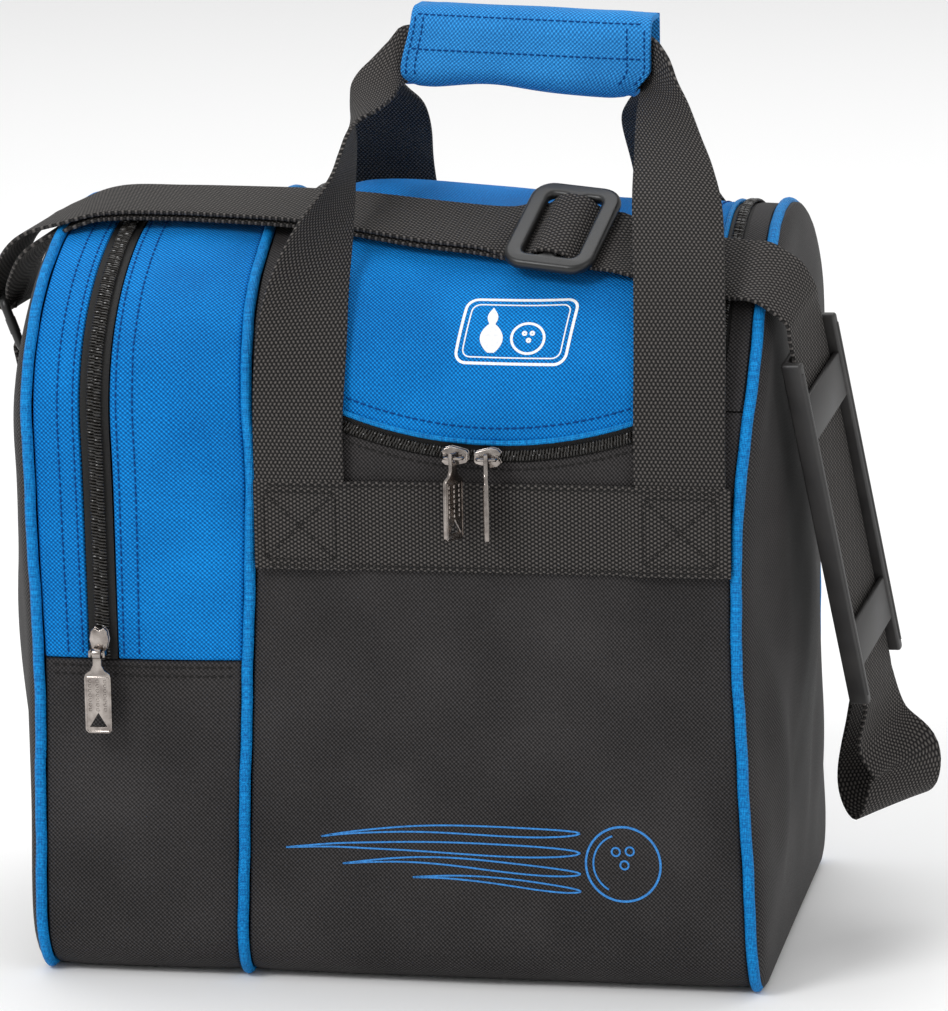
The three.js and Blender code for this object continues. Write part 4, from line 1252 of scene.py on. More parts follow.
def raised_print(name, target, strips, look, body):
    """Thick ink laid on a piece: each strip is a grid of (x, s) places."""
    points, faces, uvs, start = [], [], [], 0
    for X, S in strips:
        at, out = on_skin(X, S)
        base_points = laid_on(target, at.reshape(-1, 3), out.reshape(-1, 3)).reshape(at.shape)
        p, f, _ = slab_parts(base_points + out * INK_HEIGHT, base_points - out * 0.4)
        points.append(p)
        faces += shifted(outward(p, f), start)
        uvs.append(both_sides(X, S))
        start += len(p)
    build(name, np.concatenate(points), faces, look, body, np.concatenate(uvs))


def band_strip(route, width):
    """A strip of even width along a flat route of (x, s)."""
    route = np.asarray(route, float)
    run = np.gradient(route, axis=0)
    run /= np.maximum(np.linalg.norm(run, axis=1), 1e-9)[:, None]
    beside = np.column_stack([run[:, 1], -run[:, 0]])
    offsets = width / 2 * np.array([-1, 0, 1])
    return route[:, :1] + beside[:, :1] * offsets, route[:, 1:] + beside[:, 1:] * offsets


def circle(cx, cs, radius, count=60, start=0.0, turn=360.0):
    """An arc of (x, s) places, whole unless it says otherwise."""
    angle = np.radians(np.linspace(start, start + turn, count))
    return np.column_stack([cx + radius * np.cos(angle), cs + radius * np.sin(angle)])


def lid_emblem():
    """A plain badge in white: a slanted double frame round a pin and a ball with its three finger holes."""
    cx, cs = 53.5, front_s(293.5)
    strips = []
    for inset, width in ((0, 1.3), (2.8, 0.6)):
        border = rounded_rectangle(inset - 25, 25 - inset, inset - 16, 16 - inset, 5 - inset / 2, 8)
        border = evenly([*border, border[0]], 1.0)[0]
        strips.append(band_strip(border + [cx, cs] + border[:, 1:] * [0.14, 0], width))
    height = np.linspace(0, 1, 30)
    waist = 3.8 * np.sin(np.pi * np.clip(height / 0.62, 0, 1)) ** 0.8 + 1.4
    head = 2.4 * np.sin(np.pi * np.clip((height - 0.55) / 0.45, 0, 1))
    neck_and_head = np.where(height >= 0.6, np.maximum(head, 1.4 * (height < 0.8)), 0.4)
    half = np.maximum(waist * (height < 0.66), neck_and_head)
    half = np.clip(half, 0.25, None)
    pin_x = cx - 11 + half[:, None] * np.array([-1, 0, 1])
    pin_s = np.broadcast_to((cs - 11 + 22.5 * height)[:, None], pin_x.shape)
    strips.append((pin_x, pin_s))
    ball_x, ball_s = cx + 5.5, cs - 3.6
    strips.append(band_strip(circle(ball_x, ball_s, 7.4), 1.2))
    for dx, ds in ((-1.6, 2.4), (1.9, 2.5), (0.4, -1.0)):
        strips.append(band_strip(circle(ball_x + dx, ball_s + ds, 0.75, 16), 1.0))
    raised_print("lid_emblem", PIECES["lid_shell"], strips, "white_print", "lid")


SPEED_LINES = [(118, 13.5, 4.2, 5.0), (134, 4.5, 5.4, 3.0), (108, -5.0, 4.4, 5.5), (76, -13.0, 3.4, 3.0)]


def front_flourish():
    """An outlined ball rolling to the right with tapering speed lines behind it, in blue."""
    cx, cs = 104.0, front_s(60)
    strips = [band_strip(circle(cx, cs, 17, 90), 1.0), band_strip(circle(cx, cs, 13.6, 50, 110, 130), 0.8)]
    for dx, ds in ((-3.2, 5.6), (3.2, 6.0), (0.6, -0.4)):
        strips.append(band_strip(circle(cx + dx, cs + ds, 1.9, 24), 0.8))
    for reach, level_s, thick, wave_size in SPEED_LINES:
        t = np.linspace(0, 1, 70)
        x = cx - 19.5 - reach * t
        middle_line = cs + level_s * (1 - 0.35 * t) + wave_size * np.sin(t * 3.3) * t
        half = thick * np.sin(np.pi * np.clip(t, 0, 1) ** 0.55) * 0.5
        for edge in (middle_line + half, middle_line - half):
            strips.append(band_strip(np.column_stack([x, edge]), 0.75))
    raised_print("front_flourish", PIECES["ball_front_shell"], strips, "blue_print", "root")


# ---- webbing ----

CURVE_STEPS = 10
WEB_SECTION = np.array([
    (-1, -0.2), (-0.985, -0.42), (-0.95, -0.5), (-0.5, -0.5), (0, -0.5), (0.5, -0.5), (0.95, -0.5),
    (0.985, -0.42), (1, -0.2), (1, 0.2), (0.985, 0.42), (0.95, 0.5), (0.5, 0.5), (0, 0.5), (-0.5, 0.5),
    (-0.95, 0.5), (-0.985, 0.42), (-1, 0.2),
])


def station(at, across, width, cup=0.0):
    """One place of a strap: its middle, the direction across it, its width and how far it is cupped."""
    return [*at, *across, width, cup]


def ribbon_frames(stations, step, slanted=False):
    """Places along a strap. A slanted one keeps its given edges, where it is twisted as it rises."""
    rows, along = evenly(curve_through(stations, CURVE_STEPS), step)
    points = rows[:, :3]
    run = np.gradient(points, axis=0)
    run /= np.linalg.norm(run, axis=1)[:, None]
    across = rows[:, 3:6]
    if not slanted:
        across = across - run * np.sum(across * run, axis=1)[:, None]
    across = across / np.linalg.norm(across, axis=1)[:, None]
    up = np.cross(across, run)
    up /= np.linalg.norm(up, axis=1)[:, None]
    return points, across, up, rows[:, 6], rows[:, 7], along


def webbing(name, stations, thick, body, nodes=(), blends=None, step=2.5, slanted=False, keep=None):
    """A flat strap through stations, with soft selvedges and a slight crown across its width.

    keep(places, share of the length) picks the part of a longer strap that this piece is.
    """
    points, across, up, width, cup, along = ribbon_frames(stations, step, slanted)
    if keep:
        kept = np.flatnonzero(keep(points, along / along[-1]))
        part = slice(max(kept[0] - 1, 0), kept[-1] + 1)
        whole = (points, across, up, width, cup, along)
        points, across, up, width, cup, along = (rows[part] for rows in whole)
    w = WEB_SECTION[:, 0]
    h = WEB_SECTION[:, 1] * thick
    crown = cup[:, None] * (1 - w[None, :] ** 2)
    ring = (
        points[:, None, :]
        + across[:, None, :] * (w[None, :] * width[:, None] / 2)[..., None]
        + up[:, None, :] * (h[None, :] + crown)[..., None]
    )
    count, sides = ring.shape[:2]
    faces = grid_faces(count, sides, wrap_columns=True)
    faces.append(tuple(reversed(range(sides))))
    faces.append(tuple((count - 1) * sides + j for j in range(sides)))
    u = np.broadcast_to(w[None, :] * width[:, None] / 2, (count, sides))
    v = np.broadcast_to(along[:, None], (count, sides))
    flat = ring.reshape(-1, 3)
    piece = build(name, flat, outward(flat, faces), "webbing", None if blends else body,
                  np.stack([u, v], axis=-1).reshape(-1, 2), nodes=nodes, sharp=70)
    if blends:
        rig.blend(piece, *blends)
    return piece


LEG_X = 84
GRIP_HALF = 57
GRIP_Z = (side("grip_front_half", 2, 0) + side("grip_front_half", 2, 1)) / 2
GRIP_HEIGHT = side("grip_front_half", 2, 1) - side("grip_front_half", 2, 0)
GRIP_BACK = side("grip_rear_half", 1, 1)
FOOT = [(121.4, BAND_Z[0] + 1), (121.4, BAND_Z[0] + 24), (122.2, 224), (123.3, 238), (123, 258)]
LEGS = {  # up from the foot: x, y, z, width, and the direction from one edge to the other
    ("front", "left"): [
        (-37.5, -117, 286, 40, (0.97, 0.25, 0)), (-36.8, -104, 311, 39.5, (0.83, 0.56, 0)),
        (-32.5, -88, 335.5, 39, (0.51, 0.86, -0.05)), (-28.5, -66, 355, 38, (0.11, 0.99, -0.04)),
        (-28.5, -52, 365.5, 37.5, (-0.01, 1, 0)), (-29, -42, 374.5, 37, (-0.14, 0.99, 0.04)),
        (-28.5, -33, 381, 36, (-0.3, 0.95, 0.12)), (-26, -25, 385.5, 34, (-0.5, 0.83, 0.24)),
        (-22.5, -16, 390, 32, (-0.6, 0.74, 0.3)), (-18.5, -11, 395, 30, (-0.51, 0.77, 0.39)),
        (-14.5, -9, 399.5, 28, (-0.31, 0.7, 0.63)), (-9, -5, 403.5, 26, (-0.15, 0.3, 0.94)),
        (10, -5, 403.5, 25, (0, 0.2, 0.98)),
    ],
    ("front", "right"): [
        (129.3, -117, 286, 40, (1, 0, 0)), (127.2, -102, 315, 40, (1, 0, 0)),
        (123.3, -78, 343, 40, (1, 0, -0.03)), (118.7, -57, 361, 38, (0.96, -0.27, -0.05)),
        (114, -40, 374, 36, (0.87, -0.48, -0.08)), (110, -25, 385, 34, (0.74, -0.67, 0)),
        (106.5, -16, 391.5, 31, (0.61, -0.77, 0.21)), (103.2, -10, 396.5, 28, (0.45, -0.58, 0.64)),
        (96.5, -5, 400.5, 26, (0.2, -0.25, 0.95)), (78, -5, 402, 25, (0, -0.2, 0.98)),
    ],
    ("rear", "left"): [
        (-37.8, 117, 286, 40, (1, 0, 0)), (-36.3, 102, 315, 39.5, (0.97, 0.2, 0)),
        (-34, 78, 343, 39, (0.94, 0.33, -0.05)), (-29, 52, 363.5, 38, (0.92, 0.35, -0.15)),
        (-26.2, 36, 378, 36, (0.78, 0.58, -0.23)), (-24.8, 24, 386.5, 32, (0.5, 0.81, -0.31)),
        (-21.2, 14, 394, 29, (0.18, 0.83, -0.52)), (-17, 10, 397.5, 27, (-0.04, 0.66, -0.75)),
        (-9, 6, 401, 26, (-0.09, 0.3, -0.95)), (10, 5, 402, 25, (0, 0.2, -0.98)),
    ],
    ("rear", "right"): [
        (118.5, 117, 286, 40, (1, -0.05, 0.02)), (105.5, 102, 315, 39.5, (1, -0.07, 0.02)),
        (99.5, 90, 329, 39, (0.98, -0.18, 0.03)), (97.8, 74, 345, 38.5, (0.98, -0.2, -0.03)),
        (96, 50, 364.5, 37, (0.95, -0.3, -0.08)), (96.7, 34, 376, 34, (0.79, -0.61, -0.03)),
        (99.3, 20, 386.5, 31, (0.56, -0.8, 0.19)), (101, 12, 395, 28, (0.37, -0.71, 0.6)),
        (93, 6, 399.5, 26, (0.18, -0.3, 0.93)), (78, 5, 400, 25, (0, -0.2, 0.98)),
    ],
}
GRIP_TILT = 2.5


def handles():
    """The four legs, each from under its band up into the grip, where the two handles are held together."""
    for (side_name, end), above in LEGS.items():
        facing = -1 if side_name == "front" else 1
        foot_x = BALL_MIDDLE + (LEG_X if end == "right" else -LEG_X)
        stations = [station((foot_x, facing * y, z), (1, 0, 0), WEBBING_WIDTH) for y, z in FOOT]
        stations += [station((x, y, z), across, width, 0.4) for x, y, z, width, across in above]
        nodes = [f"handle_tail_{side_name}_{end}"]
        if end == "left":
            nodes.append(f"{side_name}_handle_strap")
        body = f"{side_name}_handle"
        low = (BALL_MIDDLE * MM, facing * 0.1235, (BAND_Z[1] - 1) * MM)
        webbing(f"{side_name}_{end}_leg", stations, WEBBING_THICK, body, nodes,
                ("root", body, low, (*low[:2], 0.288)), slanted=True)


def band_stations(facing):
    """The band across the ball compartment, raised where it covers the handles' ends."""
    x = np.concatenate([np.arange(DIVIDE + SEAM, RIGHT - SEAM, 6), [RIGHT - SEAM]])
    s_middle = front_s(sum(BAND_Z) / 2)
    s = np.full_like(x, s_middle if facing < 0 else WHOLE_S - s_middle)
    from_leg = np.abs(np.abs(x + drift(x, s) - BALL_MIDDLE) - LEG_X)
    lift = 1.35 + 2.2 * (1 - smooth((from_leg - 19) / 7))
    points, _ = on_skin(x, s, lift)
    return [station(point, (0, 0, 1), WEBBING_WIDTH - 0.4) for point in points]


def bands():
    """The bands that hold the handles' ends, with their rows and crossed boxes of stitching."""
    for facing, name in ((-1, "front"), (1, "rear")):
        stations = band_stations(facing)
        piece = webbing(f"{name}_band_webbing", stations, WEBBING_THICK, "root", [f"{name}_band"], step=2.0)
        out = (0, facing, 0)
        lines = []
        for z in (BAND_Z[0] + 2.2, BAND_Z[1] - 2.2):
            path = np.array(stations)[1:-1, :3]
            path[:, 2] = z
            lines.append(straight(path, out))
        for sign in (-1, 1):
            x = BALL_MIDDLE + sign * LEG_X
            for places in crossed_box(16, BAND_Z[0] + 5, BAND_Z[0] + 35):
                depth = np.full(len(places), facing * BAND_Y)
                lines.append(straight(np.column_stack([x + places[:, 0], depth, places[:, 1]]), out))
        stitches(f"{name}_band_stitches", piece, lines, "black_thread", "root", length=2.2, radius=0.34)


# ---- the grip wrap ----

GRIP_STEP = 1.6


def grip_section():
    """The wrap's middle line as (depth, height), from the top edge behind round the front and under."""
    half_height = GRIP_HEIGHT / 2 - 1.5
    front = GRIP_BACK - 1.5
    corner = 9.0
    points = [(11.0, half_height)]
    for height, start in ((half_height - corner, 90), (-half_height + corner, 180)):
        for k in range(9):
            angle = math.radians(start + 90 * k / 8)
            points.append((-front + corner + corner * math.cos(angle), height + corner * math.sin(angle)))
    points.append((11.0, -half_height))
    return evenly(points, GRIP_STEP)[0]


def grip_end_shift(share, height):
    """The wrap's ends aren't square: the left leans in at the top, the right is pushed in at the bottom."""
    left = 5 * smooth((height + 12) / 26)
    right = -8 * smooth((-5 - height) / 12)
    return left * (1 - share) ** 3 + right * share**3


def grip_level(x):
    """The height of the wrap's middle, which hangs lower on the right."""
    return GRIP_Z - GRIP_TILT * (x - BALL_MIDDLE) / GRIP_HALF


def grip_slack(share, height):
    """The lower edge is drawn up a little, left of the middle."""
    return 3.2 * np.exp(-(((share - 0.34) / 0.2) ** 2)) * smooth((-4 - height) / 14)


def grip():
    """The padded wrap round both handles, and the flap that closes it behind."""
    section = grip_section()
    run = np.gradient(section, axis=0)
    run /= np.linalg.norm(run, axis=1)[:, None]
    out = np.column_stack([-run[:, 1], run[:, 0]])
    if np.dot(out[len(out) // 2], [-1, 0]) < 0:
        out = -out
    length = 2 * GRIP_HALF
    x = BALL_MIDDLE - GRIP_HALF + spread(length, 2.5)
    around = np.arange(len(section)) * GRIP_STEP
    A, X = np.meshgrid(around, x, indexing="ij")
    ends = np.minimum(np.abs(X - x[0]), np.abs(X - x[-1]))
    tight = np.minimum(np.abs(A - around[0]), np.abs(A - around[-1]))
    puff = 1.2 * smooth(ends / 16) * smooth(tight / 10)
    puff += 0.3 * ripple(A * 2.1, X * 1.7, 3.0) * smooth(ends / 9)
    puff -= 0.5 * np.exp(-(((ends - 4.0) / 1.3) ** 2))
    share = (X - x[0]) / length
    slack = grip_slack(share, section[:, 1][:, None])
    drop = rolled(np.minimum(ends, tight), 1.3, 1.2)
    at = section[:, None, :] + out[:, None, :] * (1.1 + puff + drop)[..., None]
    under = section[:, None, :] - out[:, None, :] * 1.2 + 0 * X[..., None]
    bent = X + grip_end_shift(share, section[:, 1][:, None])
    level_z = grip_level(X) + slack
    outer = np.stack([bent, at[..., 0], level_z + at[..., 1]], axis=-1)
    inner = np.stack([bent, under[..., 0], level_z + under[..., 1]], axis=-1)
    cloth = ["grip_fabric", "grip_fabric"]
    parts = slab_parts(outer, inner)
    wrap = sheet("grip_wrap", parts, cloth, "front_handle", both_sides(X, A), ["grip_front_half"])
    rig.padded(wrap, fill=0.5)
    z = -GRIP_HEIGHT / 2 + 1 + spread(GRIP_HEIGHT - 2, 2.5)
    Z, X = np.meshgrid(z, x, indexing="ij")
    ends = np.minimum(np.minimum(np.abs(X - x[0]), np.abs(X - x[-1])), np.minimum(Z - z[0], z[-1] - Z))
    share = (X - x[0]) / length
    bent = X + grip_end_shift(share, Z)
    level_z = grip_level(X) + grip_slack(share, Z) + Z
    Y = GRIP_BACK - 0.6 + 0.8 * smooth(ends / 9) + rolled(ends, 1.2, 1.0) + 0.25 * ripple(X * 2, Z * 2, 1.0)
    outer = np.stack([bent, Y, level_z], axis=-1)
    inner = np.stack([bent, np.full_like(X, GRIP_BACK - 2.7), level_z], axis=-1)
    parts = slab_parts(outer, inner)
    flap = sheet("grip_flap", parts, cloth, "rear_handle", both_sides(X, Z), ["grip_rear_half"])
    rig.padded(flap, fill=0.3)
    grip_stitches(wrap, x)


def grip_stitches(wrap, x):
    """The wrap's rows of stitching: along it near its top and its middle, and across both ends."""
    routes = []
    for height in (15.0, -0.5):
        across = x[3:-3] + grip_end_shift((x[3:-3] - x[0]) / (x[-1] - x[0]), height)
        depth = np.full_like(across, -GRIP_BACK)
        routes.append(np.column_stack([across, depth, grip_level(across) + height]))
    up = np.linspace(-13, 15, 24)
    for inset in (2.6, 6.8, -10.5, -2.8):
        at_x = x[0] + inset if inset > 0 else x[-1] + inset
        across = at_x + grip_end_shift(np.full_like(up, (at_x - x[0]) / (x[-1] - x[0])), up)
        routes.append(np.column_stack([across, np.full_like(up, -GRIP_BACK), grip_level(across) + up]))
    lines = [straight(route, (0, -1, 0)) for route in routes]
    stitches("grip_stitches", wrap, lines, "blue_thread", "front_handle", length=2.0, gap=1.0)


# ---- shoulder strap ----

LOWER_LIFT = 4.4
UPPER_LIFT = 7.4
LEFT_CROSSING = [(-140, -31), (-112, -30), (-82, -33), (-54, -37)]
LID_CROSSING = [(-26, -43), (8, -51), (38, -55.5)]
BUCKLE = (71, -60)
RIGHT_CROSSING = [(104, -67.5), (128, -73), (148, -77.2)]
OVER_BAR = 14.3
BUCKLE_TIP = 10
LEFT_FOOT, LEFT_HEAD = (-189, 268), (-197.5, 291)
RIGHT_FOOT, RIGHT_HEAD = (180.5, 232), (187, 209)
RING_BAR = 4.4
LOOP = 4.9


def on_arch(x, y, lift):
    """A strap station on the arched top."""
    at, out = on_skin(x, arch_s(y), lift)
    return station(at, (0, out[2], -out[1]), STRAP_WIDTH)


def flat_arch(x, y):
    """A place on the arched top as it is cut, without its swell, and the outward direction there."""
    s = arch_s(y)
    out = np.array([0, *(np.interp(s, PROFILE_S, PROFILE_OUT[:, k]) for k in (0, 1))])
    return np.array([x, y, z_of(s)]), out


def buckle_frame():
    """The tri-glide's middle, and the directions along its strap, across it and outwards."""
    here, out = flat_arch(*BUCKLE)
    along = flat_arch(*RIGHT_CROSSING[0])[0] - flat_arch(*LID_CROSSING[-1])[0]
    along /= np.linalg.norm(along)
    tip = math.radians(BUCKLE_TIP)
    across = np.array([0, out[2], -out[1]]) * math.cos(tip) + out * math.sin(tip)
    across -= along * np.dot(across, along)
    across /= np.linalg.norm(across)
    return here + out * 1.2, along, across, np.cross(along, across)


def level(x, y, z, width=STRAP_WIDTH):
    """A station whose edges are at the same height, one before the other."""
    return station((x, y, z), (0, 1, 0), width)


def bar_loop(centre, start, end, steps, width=STRAP_WIDTH):
    """Stations round a ring's bar, between two angles in degrees."""
    made = []
    for k in range(steps + 1):
        angle = math.radians(start + (end - start) * k / steps)
        made.append(level(centre[0] + LOOP * math.cos(angle), 0, centre[1] + LOOP * math.sin(angle), width))
    return made


PAD_HALF = 87
IN_PAD_LIFT = 1.7
PAD_AT = np.array([190.0, -49.0, 206.0])
PAD_DOWN = np.array([24.0, 55.0, -164.0])
PAD_ACROSS = np.array([10.0, 42.0, 14.5])


def pad_frame():
    """The sliding pad's middle, and the directions down it, across it and away from the bag."""
    along = PAD_DOWN / np.linalg.norm(PAD_DOWN)
    across = PAD_ACROSS - along * np.dot(PAD_ACROSS, along)
    across /= np.linalg.norm(across)
    return PAD_AT, along, across, np.cross(along, across)


def at_buckle(u, lift):
    """A strap station beside the tri-glide's middle bar, u along the strap from it."""
    at, along, across, out = buckle_frame()
    return station(at + along * u + out * lift, across, STRAP_WIDTH)


def in_pad(u):
    """A strap station in the sliding pad, u down it from its middle."""
    at, along, across, out = pad_frame()
    return station(at + along * u + out * IN_PAD_LIFT, across, STRAP_WIDTH)


def strap_piece(name, stations, nodes, blends, keep):
    """One of the pieces of a run of the shoulder strap, blended between the bodies that it crosses."""
    webbing(name, stations, STRAP_THICK, None, nodes, blends, step=2.0, keep=keep)


def strap_left():
    """From the tri-glide's bar out to the left ring and back through the tri-glide: two layers."""
    crossing = LEFT_CROSSING + LID_CROSSING
    lower = [on_arch(x, y, LOWER_LIFT) for x, y in crossing[::-1]]
    upper = [on_arch(x, y, UPPER_LIFT) for x, y in crossing]
    stations = [at_buckle(3, LOWER_LIFT + 0.8), at_buckle(-12, LOWER_LIFT + 0.3)] + lower
    stations += [
        station((-158, -34, 330.5), (0.1, 0.98, 0.16), STRAP_WIDTH),
        station((-173, -31, 322.5), (0.2, 0.97, 0.14), STRAP_WIDTH),
        station((-184, -18, 310), (0.1, 0.99, 0.05), STRAP_WIDTH), level(-190.6, -4, 299),
    ]
    stations += bar_loop(LEFT_HEAD, 370, 160, 7)
    stations += [
        level(-199.2, -3, 300), station((-190.5, -17, 314.5), (0.08, 0.99, 0.03), STRAP_WIDTH),
        station((-177.5, -30, 327), (0.16, 0.98, 0.1), STRAP_WIDTH),
        station((-160.5, -34, 333.8), (0.08, 0.98, 0.16), STRAP_WIDTH),
    ]
    stations += upper
    half = ((20, 6.7), (13, 6.9), (10.4, 8.8), (7.2, 12.3), (4, 13.9))
    stations += [at_buckle(-u, lift) for u, lift in half] + [at_buckle(0, OVER_BAR)]
    stations += [at_buckle(u, lift) for u, lift in half[:0:-1]] + [at_buckle(18, 6.7)]
    on_lid = ("root", "lid", (-0.15, 0, 0.3), (-0.03, 0, 0.3))
    at_ring = ("ring_left", "root", (-0.199, 0, 0.292), (-0.165, 0, 0.325))
    strap_piece("shoulder_strap_left_lower", stations, ["strap_lid_lower"], on_lid,
                lambda places, share: (places[:, 0] > -150) & (share < 0.5))
    strap_piece("shoulder_strap_left_loop", stations, ["shoulder_strap_left_run"], at_ring,
                lambda places, share: places[:, 0] <= -150)
    strap_piece("shoulder_strap_left_upper", stations, ["strap_lid_upper"], on_lid,
                lambda places, share: (places[:, 0] > -150) & (share > 0.5))


def strap_right():
    """From the tri-glide over the right side, through the pad, round a bight and up to the right ring."""
    stations = [at_buckle(17.6, 6.7), at_buckle(23, 6.2)]
    stations += [on_arch(x, y, lift) for (x, y), lift in zip(RIGHT_CROSSING, (5.0, 4.2, 4.8))]
    stations += [
        on_arch(159, -80, 5.6),
        station((170, -84, 312.5), (0.25, 0.85, 0.45), STRAP_WIDTH),
        *(in_pad(u) for u in (-PAD_HALF - 17, -PAD_HALF - 9, -PAD_HALF, -40)),
        *(in_pad(u) for u in (0, 40, PAD_HALF, PAD_HALF + 8)),
        station((206, -13, 97), (0.5, 0.8, 0.33), STRAP_WIDTH),
        station((215.5, -8.5, 82), (0.75, 0.6, 0.27), STRAP_WIDTH),
        station((213, -4, 66), (0.83, 0.49, 0.27), STRAP_WIDTH),
        station((207, 5, 58), (0.83, 0.49, 0.27), STRAP_WIDTH),
        station((201, 14, 65), (0.83, 0.49, 0.27), STRAP_WIDTH),
        station((199, 18.5, 82), (0.75, 0.64, 0.2), STRAP_WIDTH),
        station((197.5, 16, 105), (0.45, 0.88, 0.15), STRAP_WIDTH),
        station((195.5, 11, 130), (0.15, 0.98, 0.08), STRAP_WIDTH),
        level(193.5, 5, 160), level(192.5, 3, 190, 36),
    ]
    stations += bar_loop(RIGHT_HEAD, -20, 200, 7, 35)
    stations += [level(183.2, 0, 200), level(188.2, 0, 180), level(190.6, 2, 162)]
    over_hinge = ("lid", "root", (0.095, 0, 0.3), (0.163, 0, 0.3))
    at_ring = ("ring_right", "root", (0.188, 0, 0.203), (0.19, 0, 0.168))
    strap_piece("shoulder_strap_right", stations, ["shoulder_strap_right_run"], over_hinge,
                lambda places, share: (places[:, 2] <= 140) | (share <= 0.5))
    strap_piece("shoulder_strap_right_loop", stations, [], at_ring,
                lambda places, share: (places[:, 2] > 140) & (share > 0.5))


def ring_tabs():
    """The two webbing tabs, each folded round the foot of its ring and sewn to an end panel."""
    left = [level(-185.3, 0, 214), level(-184.8, 0, 232), level(-183.4, 0, 252)]
    left += bar_loop(LEFT_FOOT, -25, 205, 8)
    left += [level(-190.4, 0, 250), level(-188.6, 0, 234), level(-187.9, 0, 214)]
    right = [level(172.6, 0, 270), level(174, 0, 254), level(175.6, 0, 240)]
    right += bar_loop(RIGHT_FOOT, 180, 380, 8)
    right += [level(181.4, 0, 250), level(176.8, 0, 262), level(175.2, 0, 271)]
    for name, stations in (("left", left), ("right", right)):
        webbing(f"{name}_tab_webbing", stations, WEBBING_THICK, "root", [f"ring_tab_{name}"], step=1.5)
    for name, x, low, high in (("left", -189, 217, 231), ("right", 178, 256, 269)):
        lines = []
        for places in crossed_box(15, low, high):
            line = np.column_stack([np.full(len(places), x), places])
            lines.append(straight(line, (math.copysign(1, x), 0, 0)))
        tab = PIECES[f"{name}_tab_webbing"]
        stitches(f"{name}_tab_stitches", tab, lines, "black_thread", "root", length=2.2)


# ---- hardware ----


def taken_from(shape):
    """The points and faces of a bmesh, which is freed."""
    shape.verts.index_update()
    points = np.array([tuple(v.co) for v in shape.verts])
    faces = [tuple(v.index for v in face.verts) for face in shape.faces]
    shape.free()
    return points, faces


def plate(outline, holes, thick, bevel, steps=2):
    """Points and faces of a flat plate with holes and rounded edges, lying in (x, y)."""
    curve = bpy.data.curves.new("plate", "CURVE")
    curve.dimensions = "2D"
    curve.fill_mode = "BOTH"
    curve.extrude = max(thick / 2 - bevel, 0.01)
    curve.bevel_depth = bevel
    curve.bevel_resolution = steps
    curve.offset = -bevel
    for ring in [outline, *holes]:
        spline = curve.splines.new("POLY")
        spline.points.add(len(ring) - 1)
        for point, (x, y) in zip(spline.points, ring):
            point.co = (x, y, 0, 1)
        spline.use_cyclic_u = True
    thing = bpy.data.objects.new("plate", curve)
    bpy.context.scene.collection.objects.link(thing)
    bpy.context.view_layer.update()
    mesh = thing.evaluated_get(bpy.context.evaluated_depsgraph_get()).to_mesh()
    shape = bmesh.new()
    shape.from_mesh(mesh)
    bmesh.ops.remove_doubles(shape, verts=shape.verts, dist=0.001)
    points, faces = taken_from(shape)
    thing.to_mesh_clear()
    bpy.data.objects.remove(thing)
    bpy.data.curves.remove(curve)
    return points, faces


def rounded_box(x0, x1, y0, y1, z0, z1, bevel, segments=2):
    """Points and faces of a box with rounded edges."""
    shape = bmesh.new()
    bmesh.ops.create_cube(shape, size=1)
    for v in shape.verts:
        v.co = (
            (x0 + x1) / 2 + v.co.x * (x1 - x0),
            (y0 + y1) / 2 + v.co.y * (y1 - y0),
            (z0 + z1) / 2 + v.co.z * (z1 - z0),
        )
    edges = shape.edges[:]
    bmesh.ops.bevel(shape, geom=edges, offset=bevel, segments=segments, profile=0.5, affect="EDGES")
    return taken_from(shape)


def rod(path, radius, sides=12, closed=False):
    """Points and faces of a round bar along a path."""
    points, faces, _ = tube_parts(path, radius, sides, closed)
    return points, outward(points, faces)


def round_points(x, y, radius, count):
    """Points round a circle, in (x, y)."""
    turn = [2 * math.pi * k / count for k in range(count)]
    return [(x + radius * math.cos(angle), y + radius * math.sin(angle)) for angle in turn]


DOME_SIDES = 8


def dome(x, y, z, radius, height):
    """A low round stud on a plate, towards +z or, with a height below nothing, towards -z."""
    points = [(x, y, z + height)]
    for scale, rise in ((0.62, 0.8), (1.0, 0.0), (1.0, -0.3)):
        points += [(*place, z + height * rise) for place in round_points(x, y, radius * scale, DOME_SIDES)]
    faces = [(0, 1 + k, 1 + (k + 1) % DOME_SIDES) for k in range(DOME_SIDES)]
    faces += turned_over(grid_faces(3, DOME_SIDES, wrap_columns=True, start=1))
    faces.append(tuple(1 + 2 * DOME_SIDES + k for k in reversed(range(DOME_SIDES))))
    return np.array(points), faces


def assembled(name, parts, look, body, nodes, place):
    """One piece from closed parts, each a (points, faces) pair, moved into place by a matrix."""
    points, faces, start = [], [], 0
    for p, f in parts:
        points.append(p)
        faces += shifted(outward(p, f), start)
        start += len(p)
    whole = np.concatenate(points) @ place[:3, :3].T + place[:3, 3]
    if np.linalg.det(place[:3, :3]) < 0:
        faces = turned_over(faces)
    return build(name, whole, faces, look, body, nodes=nodes, sharp=35)


def frame_matrix(at, x_axis, y_axis, z_axis):
    """The matrix that puts a part's origin and axes at the given place and directions."""
    matrix = np.eye(4)
    matrix[:3, 0], matrix[:3, 1], matrix[:3, 2], matrix[:3, 3] = x_axis, y_axis, z_axis, at
    return matrix


def rounded_rectangle(x0, x1, y0, y1, radius, steps=5):
    """The outline's points, anticlockwise from its right side's top."""
    points = []
    left, right, low, high = x0 + radius, x1 - radius, y0 + radius, y1 - radius
    for cx, cy, start in ((right, high, 0), (left, high, 90), (left, low, 180), (right, low, 270)):
        for k in range(steps + 1):
            angle = math.radians(start + 90 * k / steps)
            points.append((cx + radius * math.cos(angle), cy + radius * math.sin(angle)))
    return points


